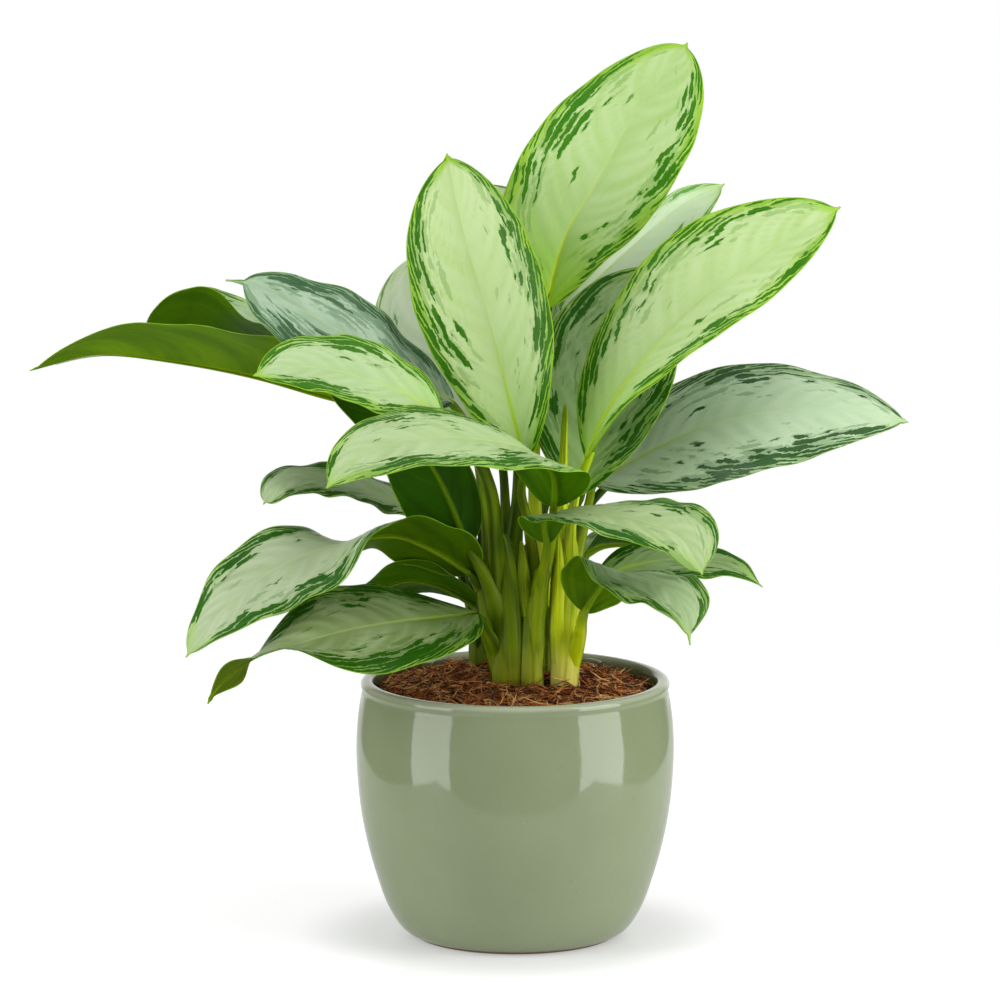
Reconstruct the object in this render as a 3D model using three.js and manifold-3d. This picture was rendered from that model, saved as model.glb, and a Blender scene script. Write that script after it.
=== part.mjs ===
// A potted Chinese evergreen: a glazed ceramic pot, its root ball, a coir mulch and the plant.
// Millimetres, +Z up. The origin is the middle of the pot's flat base, and -Y is the front.
import * as THREE from "three";
import { mergeVertices } from "three/addons/utils/BufferGeometryUtils.js";
import Module from "manifold-3d";

// ---- Driving dimensions

const GAP = 0.3; // clearance between pieces that touch
const WALL_CLEARANCE = 0.6; // between the pot's wall and what fills it, as both are faceted

// The pot's outer wall as [radius, height], from the base's edge to the neck under its rim.
const POT_WALL = [
  [67, 0], [75.5, 6], [84.5, 20], [91.7, 40], [97.5, 60.5],
  [102.5, 87], [105, 121], [104.3, 142], [101.9, 160],
];
// The rim's bead: a shallow groove, the bead and its rounded lip.
const POT_RIM = [[101, 163.5], [101.4, 166], [102.1, 168.5], [100.6, 171.2], [97.5, 172], [94.6, 171.2]];
// The inner wall, from the lip down to the floor.
const POT_INSIDE = [[93.4, 168.5], [93.4, 150], [94, 112], [90.5, 70], [81, 30], [70, 13], [58, 8]];
const POT_SIDES = 44;
const POT_WALL_STEPS = 11;
const POT_INSIDE_STEPS = 7;

const SOIL_TOP = 148;
const CORNER_SPACING = 1; // least height between two corners of the root ball's outline
const SOIL_FOOT_INSET = 2; // how much narrower the root ball is where it stands on the floor
const COIR_EDGE_HEIGHT = 163; // where the mulch meets the wall
const COIR_CROWN = 8.5; // how much higher it is heaped in the middle
const COIR_LEVEL_SHARE = 0.35; // share of the radius over which it stays at its highest
const COIR_LUMP = 1.1; // height of the lumps in it
const COIR_WAVES = [[0.21, 0.17], [0.09, -0.26]]; // the lumps' two waves, radians per mm of X and Y
const COIR_RINGS = 7;
const COIR_SIDES = 32;

const LEAF_THICKNESS = 0.8;
const LEAF_EDGE_WIDTH = 0.7; // half the width that a blade keeps at its base and its tip
const LEAF_STEPS = 10; // facets along a blade
const LEAF_HALF_FACETS = 2; // facets across each half of a blade
const LEAF_TIP_WIDTH = 0.05; // width of the narrow tip over the blade's widest
const CURL_PIECES = 6; // straight pieces that a half's bend is added up from
const PETIOLE_RADIUS = [4.5, 2.4]; // at the shoot, and under the blade
const PETIOLE_SIDES = 6;
const PETIOLE_STEPS = 5;
const PETIOLE_OVERLAP = 0.4; // share of the way to the midrib's second point that it runs under the blade
const SHOOT_SIDES = 10;
const SHOOT_STEPS = 7;
const SIDEWAYS = new THREE.Vector3(1, 0, 0); // where the ring of a shoot or petiole starts
const CURVE_DIVISIONS = 400; // how finely a curve's length is measured
const WELD = 1e-4; // corners nearer than this are one

// Each shoot has a path of its middle, its radii at even shares of the path, and its depth over width.
// sheaths: the leaf bases wrapped round it, each with a path and radii of its own
const SHOOTS = [
  {
    name: "shoot_left", depth: 0.75, radii: [9, 9.8, 9.5, 4],
    path: [[-5, -20, 125], [-6, -20, 190], [-9, -20, 225], [-12, -19, 262]],
    sheaths: [
      { path: [[-8, -20, 165], [-15, -20, 207], [-20, -19, 235], [-26, -17, 259]],
        radii: [4, 7, 6.5, 1.5] },
      { path: [[-1, -23, 165], [-3, -24, 207], [-5, -24, 240], [-10, -27, 274]],
        radii: [5, 7.5, 7.5, 4.5] },
    ],
  },
  {
    name: "shoot_middle", depth: 0.9, radii: [6.3, 7, 6.8, 4],
    path: [[11, -24, 125], [11, -24, 200], [11, -23, 222], [11, -22, 240]],
    sheaths: [
      { path: [[13, -25, 175], [14, -26, 212], [16, -31, 238], [18, -37, 253]],
        radii: [4, 6, 5.5, 4.2] },
    ],
  },
  {
    name: "shoot_right", depth: 0.85, radii: [7.5, 9, 9, 4.5],
    path: [[30, -22, 125], [33, -22, 196], [35, -21, 230], [36, -20, 272]],
    sheaths: [
      { path: [[28, -24, 178], [28.5, -25, 215], [29, -24, 245], [28.5, -23, 272]],
        radii: [4, 6, 5, 1] },
      { path: [[37, -23, 170], [38, -24, 205], [38.5, -23, 226], [40, -21, 252]],
        radii: [3, 6, 5.5, 2] },
    ],
  },
  {
    name: "shoot_back_left", depth: 1, radii: [5.5, 5.5, 2.5],
    path: [[-25, 42, 125], [-25, 40, 190], [-26, 38, 242]],
    sheaths: [],
  },
  {
    name: "shoot_back_right", depth: 1, radii: [6.5, 6.5, 2.5],
    path: [[21, 18, 125], [20, 18, 190], [20, 17, 252]],
    sheaths: [],
  },
  {
    name: "shoot_back_middle", depth: 1, radii: [6.5, 6.5, 2.5],
    path: [[-2, 50, 125], [-2, 49, 190], [-2, 47, 252]],
    sheaths: [],
  },
  {
    name: "young_shoot", depth: 1, radii: [4.5, 4.4, 0.8],
    path: [[8, -23, 218], [6, -24, 240], [4, -24, 268]],
    sheaths: [],
  },
  {
    name: "new_leaf_spear", depth: 1, radii: [3.4, 3.2, 0.8],
    path: [[33, -19, 250], [31, -13, 290], [33, -13, 357]],
    sheaths: [],
  },
];

// Each leaf has a petiole that starts inside its shoot, and the blade's midrib from base to tip.
// side:  [share of the midrib, x, y, z], the way towards the blade's right margin
// half:  [share, left, right], the widest reach of each half at that share
// fold:  [share, left, right], degrees that each half rises from the midrib
// curl:  [left, right], degrees by which a half bends back down on its way to the margin
// shape: the outline is share ** shape[0] * (1 - share) ** shape[1]
// drip:  the share of the midrib taken up by the narrow tip
const LEAVES = [
  {
    name: "leaf_top", curl: [12, 12], shape: [0.65, 0.56], drip: 0.015,
    petiole: [[19, 16, 222], [14, 20, 262], [13, 27, 320], [16, 28, 370]],
    rib: [[20, 24, 415], [33, 32, 461], [54, 42, 497], [72, 54, 528], [97, 66, 564], [114, 74, 585]],
    side: [[0, 0.95, -0.05, -0.3], [1, 0.75, -0.5, -0.45]],
    half: [[0, 66, 38], [1, 38, 56]],
    fold: [[0, 12, 12], [1, 8, 8]],
  },
  {
    name: "leaf_front_upright", curl: [10, 10], shape: [0.8, 0.72], drip: 0.015,
    petiole: [[12, -22, 222], [12, -14, 250], [8, -17, 280], [4, -22, 302]],
    rib: [[7, -28, 320], [-3, -24, 359], [-17, -12, 413], [-34, 5, 469], [-45, 28, 517]],
    side: [[0, 0.92, -0.3, 0.25], [1, 0.9, -0.25, 0.35]],
    half: [[0, 40, 50], [1, 50, 48]],
    fold: [[0, 22, 22], [1, 16, 16]],
  },
  {
    name: "leaf_right_upright", curl: [10, 10], shape: [0.75, 0.65], drip: 0.015,
    petiole: [[35, -20, 250], [37, -25, 285], [41, -28, 305]],
    rib: [[46, -30, 324], [63, -28, 359], [91, -22, 395], [133, -12, 434], [186, 2, 468], [213, 10, 484]],
    side: [[0, 0.45, -0.85, -0.2], [1, 0.55, -0.2, -0.8]],
    half: [[0, 50, 40], [1, 44, 28]],
    fold: [[0, 24, 24], [1, 16, 16]],
  },
  {
    name: "leaf_behind_top", curl: [0, -20], shape: [0.7, 0.75], drip: 0.015,
    petiole: [[21, 19, 232], [29, 30, 262], [27, 42, 325]],
    rib: [[24, 52, 397], [50, 62, 425], [80, 78, 451], [113, 98, 475], [140, 112, 486]],
    side: [[0, 0.65, 0.35, -0.7], [1, 0.4, 0.4, -0.8]],
    half: [[0, 24, 34], [1, 24, 34]],
    fold: [[0, 10, 20], [1, 30, 60]],
  },
  {
    name: "leaf_right_broad", curl: [16, 16], shape: [0.65, 0.75], drip: 0.015,
    petiole: [[36, -18, 240], [44, -6, 270], [49, 6, 290]],
    rib: [[51, 14, 300], [82, 10, 318], [125, 0, 340], [175, -12, 353], [219, -20, 355], [257, -25, 347]],
    side: [[0, 0.3, -0.55, -0.78], [1, -0.15, -0.78, -0.6]],
    half: [[0, 47, 38], [1, 42, 52]],
    fold: [[0, 4, 4], [1, 0, 0]],
  },
  {
    name: "leaf_right_inner", curl: [10, 10], shape: [0.8, 0.85], drip: 0.015,
    petiole: [[32, -18, 232], [30, -5, 258], [36, -3, 280]],
    rib: [[43, -6, 295], [49, 2, 336], [61, 14, 382], [76, 27, 417], [94, 38, 443]],
    side: [[0, 0.97, -0.2, -0.1], [1, 0.8, -0.2, -0.55]],
    half: [[0, 48, 42], [1, 44, 52]],
    fold: [[0, 14, 14], [1, 10, 10]],
  },
  {
    name: "leaf_left_inner", curl: [10, 10], shape: [0.65, 0.85], drip: 0.015,
    petiole: [[-12, -14, 228], [-13, 6, 270], [-20, 20, 305]],
    rib: [[-24, 30, 330], [-42, 42, 373], [-57, 56, 414], [-54, 72, 452]],
    side: [[0, 0.95, 0.15, 0.25], [1, 1, -0.1, -0.1]],
    half: [[0, 46, 42], [1, 46, 42]],
    fold: [[0, 10, 10], [1, 10, 10]],
  },
  {
    name: "leaf_left_high", curl: [10, 14], shape: [0.7, 0.65], drip: 0.07,
    petiole: [[-14, -18, 235], [-20, -13, 290], [-29, -5, 335]],
    rib: [[-40, 0, 356], [-76, -8, 380], [-108, -14, 401], [-141, -18, 421], [-172, -18, 437],
      [-189, -14, 439]],
    side: [[0, 0.2, 0.8, 0.55], [1, 0.2, 0.6, 0.77]],
    half: [[0, 46, 36], [1, 49, 28]],
    fold: [[0, 14, 10], [1, 20, 10]],
  },
  {
    name: "leaf_left_back", curl: [20, 20], shape: [2, 0.9], drip: 0.015,
    petiole: [[-25, 38, 210], [-38, 48, 270], [-62, 58, 328]],
    rib: [[-105, 64, 367], [-145, 62, 381], [-182, 58, 390], [-212, 53, 393], [-233, 48, 390],
      [-248, 44, 383]],
    side: [[0, 0, 1, 0], [1, 0, 1, 0]],
    half: [[0, 42, 40], [1, 46, 42]],
    fold: [[0, 34, 44], [0.5, 36, 48], [0.76, 66, 48], [1, 70, 48]],
  },
  {
    name: "leaf_left_long", curl: [10, 10], shape: [0.65, 0.82], drip: 0.015,
    petiole: [[-18, -14, 230], [-27, -2, 258], [-36, 10, 300], [-54, 18, 330]],
    rib: [[-79, 20, 348], [-122, 12, 358], [-173, 5, 373], [-223, -5, 384], [-272, -15, 390],
      [-317, -25, 381]],
    side: [[0, 0, 1, 0], [1, 0, 1, 0]],
    half: [[0, 54, 46], [1, 50, 46]],
    fold: [[0, 46, 8], [1, 46, 8]],
  },
  {
    name: "leaf_left_near", curl: [12, 12], shape: [0.6, 0.75], drip: 0.015,
    petiole: [[-11, -22, 230], [-13, -38, 275], [-16, -46, 305], [-28, -48, 332]],
    rib: [[-46, -46, 347], [-65, -54, 367], [-96, -63, 381], [-137, -74, 391], [-169, -86, 387]],
    side: [[0, 0.1, 0.85, 0.5], [1, -0.3, 0.75, 0.6]],
    half: [[0, 28, 34], [1, 32, 38]],
    fold: [[0, 10, 10], [1, 8, 8]],
  },
  {
    name: "leaf_front_folded", curl: [14, 14], shape: [0.6, 0.7], drip: 0.015,
    petiole: [[13, -24, 228], [20, -26, 250], [25, -31, 276]],
    rib: [[25, -40, 293], [25, -50, 317], [9, -70, 335], [-16, -92, 345], [-49, -115, 351],
      [-80, -133, 350], [-106, -145, 340], [-121, -150, 324]],
    side: [[0, -1, 0.1, 0], [0.3, -0.6, 0.75, 0.3], [1, -0.6, 0.75, 0.35]],
    half: [[0, 42, 46], [1, 48, 46]],
    fold: [[0, 8, 8], [1, 8, 8]],
  },
  {
    name: "leaf_left_curled", curl: [12, 12], shape: [0.6, 0.45], drip: 0.015,
    petiole: [[-25, 38, 195], [-38, 24, 245], [-49, 14, 268]],
    rib: [[-59, 10, 278], [-82, 5, 291], [-112, -5, 303], [-138, -15, 308], [-155, -24, 304],
      [-165, -28, 293]],
    side: [[0, 0, 0.95, 0.32], [1, -0.5, 0.82, 0.2]],
    half: [[0, 24, 40], [1, 26, 24]],
    fold: [[0, 4, 4], [1, 4, 4]],
  },
  {
    name: "leaf_left_twisted", curl: [10, 10], shape: [0.45, 0.6], drip: 0.015,
    petiole: [[-13, -15, 214], [-21, -16, 234]],
    rib: [[-28, -26, 247], [-56, -45, 267], [-78, -55, 277], [-104, -66, 276], [-133, -80, 270],
      [-159, -90, 259], [-183, -98, 242], [-201, -103, 223], [-213, -106, 206]],
    side: [[0, -0.3, 0.6, -0.7], [0.33, -0.1, 0.85, -0.5], [0.6, -0.4, 0.6, 0.7], [1, -0.6, 0.65, 0.4]],
    half: [[0, 40, 28], [1, 32, 36]],
    fold: [[0, 4, 4], [1, 4, 4]],
  },
  {
    name: "leaf_left_lowest", curl: [14, 14], shape: [0.6, 0.95], drip: 0.015,
    petiole: [[-11, -17, 188], [-18, -29, 207]],
    rib: [[-25, -42, 223], [-49, -62, 224], [-75, -82, 225], [-107, -100, 223], [-139, -115, 217],
      [-163, -125, 212], [-180, -130, 202], [-194, -133, 188], [-198, -134, 181]],
    side: [[0, -0.5, 0.8, 0.3], [0.5, -0.4, 0.7, 0.6], [0.78, 0, 1, -0.1], [0.92, 0.3, 0.4, -0.9],
      [1, 0.3, 0.4, -0.9]],
    half: [[0, 46, 42], [1, 34, 38]],
    fold: [[0, 6, 6], [1, 8, 8]],
  },
  {
    name: "leaf_left_under", curl: [14, 14], shape: [0.6, 0.8], drip: 0.015,
    petiole: [[-9, -18, 195], [-18, -6, 211]],
    rib: [[-26, 0, 222], [-50, -5, 235], [-73, -10, 239], [-99, -18, 229], [-125, -25, 209],
      [-141, -30, 198]],
    side: [[0, 0, 0.88, -0.48], [1, 0, 0.88, -0.48]],
    half: [[0, 34, 34], [1, 34, 34]],
    fold: [[0, 10, 10], [1, 8, 8]],
  },
  {
    name: "leaf_right_near", curl: [12, 12], shape: [0.6, 0.62], drip: 0.015,
    petiole: [[13, -26, 222], [18, -38, 250]],
    rib: [[21, -46, 270], [19, -54, 288], [32, -68, 295], [55, -88, 297], [80, -108, 296],
      [106, -124, 287], [120, -132, 265]],
    side: [[0, -0.95, 0.2, -0.1], [0.35, -0.6, -0.75, -0.1], [1, -0.7, -0.5, -0.4]],
    half: [[0, 26, 30], [1, 50, 26]],
    fold: [[0, 4, 4], [1, 4, 4]],
  },
  {
    name: "leaf_right_low", curl: [12, 12], shape: [0.5, 0.7], drip: 0.05,
    petiole: [[35, -21, 180], [42, -34, 205]],
    rib: [[45, -50, 225], [54, -52, 240], [65, -60, 253], [84, -80, 253], [101, -94, 247],
      [110, -102, 233], [113, -106, 214]],
    side: [[0, -0.8, 0, 0.6], [0.3, -0.8, -0.4, 0.3], [0.5, -0.6, -0.8, -0.1], [1, -0.6, -0.8, -0.3]],
    half: [[0, 16, 38], [1, 48, 36]],
    fold: [[0, 4, 4], [1, 4, 4]],
  },
  {
    name: "leaf_right_tail", curl: [14, 14], shape: [0.5, 0.8], drip: 0.015,
    petiole: [[36, -20, 212], [45, -14, 230]],
    rib: [[54, -10, 241], [88, -20, 253], [121, -28, 256], [144, -32, 252], [162, -34, 239]],
    side: [[0, 0, -0.8, -0.6], [1, -0.25, -0.93, -0.2]],
    half: [[0, 26, 30], [1, 24, 28]],
    fold: [[0, 8, 8], [1, 8, 8]],
  },
  {
    name: "leaf_right_under", curl: [14, 14], shape: [0.6, 0.8], drip: 0.015,
    petiole: [[36, -20, 222], [42, -6, 240]],
    rib: [[46, 3, 255], [59, 15, 258], [86, 35, 254], [116, 50, 245]],
    side: [[0, 0, -1, 0], [1, 0, -1, 0]],
    half: [[0, 28, 28], [1, 28, 28]],
    fold: [[0, 10, 50], [1, 8, 50]],
  },
  {
    name: "leaf_left_cupped", curl: [12, 12], shape: [0.4, 0.75], drip: 0.015,
    petiole: [[-8, -19, 206], [-18, -29, 242]],
    rib: [[-32, -38, 268], [-43, -46, 298], [-52, -52, 318], [-68, -56, 342], [-92, -56, 360],
      [-122, -54, 371]],
    side: [[0, -0.9, -0.15, -0.4], [1, -0.4, -0.2, -0.9]],
    half: [[0, 22, 32], [1, 22, 28]],
    fold: [[0, 8, 8], [1, 8, 8]],
  },
  {
    name: "leaf_back_left", curl: [12, 12], shape: [0.65, 0.7], drip: 0.015,
    petiole: [[-26, 38, 226], [-21, 54, 262], [-32, 64, 298]],
    rib: [[-46, 72, 318], [-80, 102, 345], [-112, 140, 362], [-136, 180, 360], [-150, 212, 346]],
    side: [[0, 0.65, 0.6, -0.1], [1, 0.7, 0.6, -0.1]],
    half: [[0, 44, 44], [1, 44, 44]],
    fold: [[0, 16, 16], [1, 8, 8]],
  },
  {
    name: "leaf_back_middle", curl: [12, 12], shape: [0.65, 0.7], drip: 0.015,
    petiole: [[-2, 48, 220], [-6, 58, 270], [-8, 68, 300]],
    rib: [[-12, 80, 322], [-20, 112, 352], [-27, 152, 370], [-32, 192, 368], [-35, 226, 350]],
    side: [[0, 1, 0.15, 0], [1, 1, 0.15, 0]],
    half: [[0, 44, 44], [1, 44, 44]],
    fold: [[0, 16, 16], [1, 8, 8]],
  },
  {
    name: "leaf_back_tall", curl: [12, 12], shape: [0.65, 0.7], drip: 0.015,
    petiole: [[-2, 46, 235], [2, 46, 290], [2, 52, 340]],
    rib: [[1, 60, 366], [-4, 78, 408], [-10, 100, 445], [-16, 124, 470], [-22, 150, 482]],
    side: [[0, 1, 0.1, 0.1], [1, 1, 0.2, 0.1]],
    half: [[0, 42, 42], [1, 42, 42]],
    fold: [[0, 14, 14], [1, 8, 8]],
  },
  {
    name: "leaf_back_right", curl: [12, 12], shape: [0.65, 0.7], drip: 0.015,
    petiole: [[-1, 49, 220], [14, 60, 258], [28, 72, 303]],
    rib: [[40, 84, 326], [58, 116, 356], [74, 152, 371], [86, 188, 365], [94, 217, 348]],
    side: [[0, 0.8, -0.5, 0], [1, 0.85, -0.5, 0]],
    half: [[0, 44, 44], [1, 44, 44]],
    fold: [[0, 16, 16], [1, 8, 8]],
  },
  {
    name: "leaf_back_side", curl: [12, 12], shape: [0.65, 0.7], drip: 0.015,
    petiole: [[20, 17, 212], [32, 34, 246], [48, 44, 278]],
    rib: [[62, 50, 296], [92, 82, 318], [126, 116, 332], [160, 146, 330], [186, 168, 316]],
    side: [[0, 0.7, -0.7, 0], [1, 0.7, -0.7, 0]],
    half: [[0, 40, 40], [1, 40, 40]],
    fold: [[0, 16, 16], [1, 8, 8]],
  },
];

const MATERIALS = {
  glaze: new THREE.MeshStandardMaterial({ color: 0x8f9f83, roughness: 0.12, metalness: 0 }),
  soil: new THREE.MeshStandardMaterial({ color: 0x2d2019, roughness: 1, metalness: 0 }),
  coir: new THREE.MeshStandardMaterial({ color: 0x7a4526, roughness: 0.95, metalness: 0 }),
  shoot: new THREE.MeshStandardMaterial({ color: 0x6f8a1e, roughness: 0.45, metalness: 0 }),
  leaf: new THREE.MeshStandardMaterial({ color: 0x8fb070, roughness: 0.4, metalness: 0 }),
};

// ---- Solids

const wasm = await Module();
wasm.setup();

function toSolid(geometry) {
  geometry.deleteAttribute("normal");
  geometry.deleteAttribute("uv");
  const merged = mergeVertices(geometry, WELD);
  return new wasm.Manifold(
    new wasm.Mesh({
      numProp: 3,
      vertProperties: new Float32Array(merged.attributes.position.array),
      triVerts: new Uint32Array(merged.index.array),
    }),
  );
}

function toMesh(solid, name, material) {
  const { vertProperties, triVerts } = solid.getMesh();
  const geometry = new THREE.BufferGeometry();
  geometry.setAttribute("position", new THREE.BufferAttribute(new Float32Array(vertProperties), 3));
  geometry.setIndex(new THREE.BufferAttribute(new Uint32Array(triVerts), 1));
  geometry.computeVertexNormals();
  const mesh = new THREE.Mesh(geometry, material);
  mesh.name = name;
  return mesh;
}

// The largest of a solid's separate bodies, so that a cut leaves no crumbs behind.
function largestBody(solid) {
  const bodies = solid.decompose();
  return bodies.reduce((best, body) => (body.volume() > best.volume() ? body : best));
}

function boxesMeet(a, b) {
  const first = a.boundingBox();
  const second = b.boundingBox();
  return [0, 1, 2].every(
    (axis) => first.min[axis] <= second.max[axis] && second.min[axis] <= first.max[axis],
  );
}

// Cuts away from a solid what a list of grown neighbours takes up.
function clearOf(solid, grownNeighbours) {
  let rest = solid;
  for (const neighbour of grownNeighbours) {
    if (boxesMeet(rest, neighbour)) rest = rest.subtract(neighbour);
  }
  return largestBody(rest);
}

function indexedGeometry(points, triangles) {
  const geometry = new THREE.BufferGeometry();
  const position = new Float32Array(points.flatMap((point) => point.toArray()));
  geometry.setAttribute("position", new THREE.BufferAttribute(position, 3));
  geometry.setIndex(triangles);
  return geometry;
}

// ---- Curves and rows

const vectors = (rows) => rows.map((row) => new THREE.Vector3(...row));

// The row of numbers at a share, between rows that start with their own share.
function between(rows, share, ease = (s) => s) {
  const next = Math.max(1, rows.findIndex((row) => row[0] >= share));
  const [low, high] = [rows[next - 1], rows[next]];
  const s = ease((share - low[0]) / (high[0] - low[0]));
  return low.slice(1).map((value, i) => value + (high[i + 1] - value) * s);
}

const smoothStep = (s) => s * s * (3 - 2 * s);

function evenly(values, share) {
  return between(values.map((value, i) => [i / (values.length - 1), value]), share)[0];
}

// Points and unit tangents at even steps along a smooth curve through hand-set points.
function alongCurve(points, steps) {
  const curve = new THREE.CatmullRomCurve3(points, false, "centripetal");
  curve.arcLengthDivisions = CURVE_DIVISIONS;
  return Array.from({ length: steps + 1 }, (_, i) => ({
    share: i / steps,
    point: curve.getPointAt(i / steps),
    tangent: curve.getTangentAt(i / steps),
  }));
}

// A closed tube of round or oval rings. Its ring's first axis keeps as near to `across` as it can.
function tube(stations, radiusAt, sides, across, depth = 1, grow = 0) {
  const points = [];
  const triangles = [];
  for (const { share, point, tangent } of stations) {
    const endShift = grow * (share === 1) - grow * (share === 0);
    const u = across.clone().addScaledVector(tangent, -across.dot(tangent)).normalize();
    const v = new THREE.Vector3().crossVectors(tangent, u);
    const radius = radiusAt(share);
    for (let side = 0; side < sides; side += 1) {
      const angle = (2 * Math.PI * side) / sides;
      const reach = [Math.cos(angle) * (radius + grow), Math.sin(angle) * (radius * depth + grow)];
      const place = point.clone().addScaledVector(u, reach[0]).addScaledVector(v, reach[1]);
      points.push(place.addScaledVector(tangent, endShift));
    }
  }
  const last = stations.length - 1;
  const startMiddle = points.length;
  points.push(stations[0].point.clone().addScaledVector(stations[0].tangent, -grow));
  points.push(stations[last].point.clone().addScaledVector(stations[last].tangent, grow));
  for (let side = 0; side < sides; side += 1) {
    const next = (side + 1) % sides;
    for (let ring = 0; ring < last; ring += 1) {
      const [a, b] = [ring * sides + side, ring * sides + next];
      const [c, d] = [a + sides, b + sides];
      triangles.push(a, b, d, a, d, c);
    }
    triangles.push(startMiddle, next, side);
    triangles.push(startMiddle + 1, last * sides + side, last * sides + next);
  }
  return toSolid(indexedGeometry(points, triangles));
}

// ---- Pot, soil and mulch

function lathe(profile) {
  const geometry = new THREE.LatheGeometry(profile.map(([r, z]) => new THREE.Vector2(r, z)), POT_SIDES);
  geometry.rotateX(Math.PI / 2); // the profile's height is along Y until here
  return toSolid(geometry);
}

function smoothProfile(rows, steps) {
  const curve = new THREE.SplineCurve(rows.map(([r, z]) => new THREE.Vector2(r, z)));
  return curve.getSpacedPoints(steps).map((point) => [point.x, point.y]);
}

const insideProfile = smoothProfile(POT_INSIDE, POT_INSIDE_STEPS);

function potSolid() {
  const outside = smoothProfile(POT_WALL, POT_WALL_STEPS);
  return lathe([[0, 0], ...outside, ...POT_RIM, ...insideProfile, [0, POT_INSIDE.at(-1)[1]]]);
}

// The radius of the pot's inner wall at a height.
function insideRadius(height) {
  const rows = insideProfile.map(([radius, z]) => [z, radius]).reverse();
  return between(rows, height)[0];
}

function soilSolid() {
  const floor = POT_INSIDE.at(-1)[1] + GAP;
  const isBetween = ([, z]) => z > floor + CORNER_SPACING && z < SOIL_TOP - CORNER_SPACING;
  const wall = insideProfile.filter(isBetween).reverse();
  const edge = wall.map(([radius, z]) => [radius - WALL_CLEARANCE, z]);
  return lathe([
    [0, floor],
    [insideRadius(floor) - SOIL_FOOT_INSET, floor],
    ...edge,
    [insideRadius(SOIL_TOP) - WALL_CLEARANCE, SOIL_TOP],
    [0, SOIL_TOP],
  ]);
}

function coirHeight(x, y) {
  const share = Math.hypot(x, y) / POT_INSIDE[0][0];
  const fall = THREE.MathUtils.smoothstep(share, COIR_LEVEL_SHARE, 1);
  const waves = COIR_WAVES.map(([alongX, alongY]) => Math.sin(x * alongX + y * alongY));
  return COIR_EDGE_HEIGHT + COIR_CROWN * (1 - fall) + (COIR_LUMP * (waves[0] + waves[1])) / 2;
}

function coirSolid() {
  const floor = SOIL_TOP + GAP;
  const radius = insideRadius(SOIL_TOP) - WALL_CLEARANCE;
  const points = [new THREE.Vector3(0, 0, floor), new THREE.Vector3(0, 0, coirHeight(0, 0))];
  const ring = (r, heightAt) => {
    for (let side = 0; side < COIR_SIDES; side += 1) {
      const angle = (2 * Math.PI * side) / COIR_SIDES;
      const [x, y] = [r * Math.cos(angle), r * Math.sin(angle)];
      points.push(new THREE.Vector3(x, y, heightAt(x, y)));
    }
  };
  for (let i = 1; i <= COIR_RINGS; i += 1) ring((radius * i) / COIR_RINGS, coirHeight);
  ring(radius, () => floor);
  const triangles = [];
  const at = (row, side) => 2 + row * COIR_SIDES + (side % COIR_SIDES);
  for (let side = 0; side < COIR_SIDES; side += 1) {
    triangles.push(1, at(0, side), at(0, side + 1));
    for (let row = 0; row < COIR_RINGS; row += 1) {
      const [a, b, c, d] = [at(row, side), at(row, side + 1), at(row + 1, side), at(row + 1, side + 1)];
      triangles.push(a, c, d, a, d, b);
    }
    triangles.push(0, at(COIR_RINGS, side + 1), at(COIR_RINGS, side));
  }
  return toSolid(indexedGeometry(points, triangles));
}

// ---- The plant

function shootSolid(shoot, grow = 0) {
  const tubes = [shoot, ...shoot.sheaths].map(({ path, radii }) => {
    const stations = alongCurve(vectors(path), SHOOT_STEPS);
    return tube(stations, (share) => evenly(radii, share), SHOOT_SIDES, SIDEWAYS, shoot.depth, grow);
  });
  return wasm.Manifold.union(tubes);
}

// Half the blade's width at a share of its midrib, over its widest.
function outline(share, [a, b], drip) {
  const peak = (a / (a + b)) ** a * (b / (a + b)) ** b;
  const body = Math.min(1, share / (1 - drip));
  const isOuterHalf = share > 1 / 2;
  const tip = isOuterHalf ? LEAF_TIP_WIDTH * Math.min(1, (1 - share) / drip) : 0;
  return Math.max((body ** a * (1 - body) ** b) / peak, tip);
}

// One half's cross-section: how far out and how far up a point at part s of the half lies.
function crossSection(s, fold, curl) {
  let [out, up] = [0, 0];
  for (let i = 0; i < CURL_PIECES; i += 1) {
    const middleOfPiece = (i + 1 / 2) / CURL_PIECES;
    const angle = THREE.MathUtils.degToRad(fold - curl * s * middleOfPiece);
    out += (Math.cos(angle) * s) / CURL_PIECES;
    up += (Math.sin(angle) * s) / CURL_PIECES;
  }
  return [out, up];
}

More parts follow.
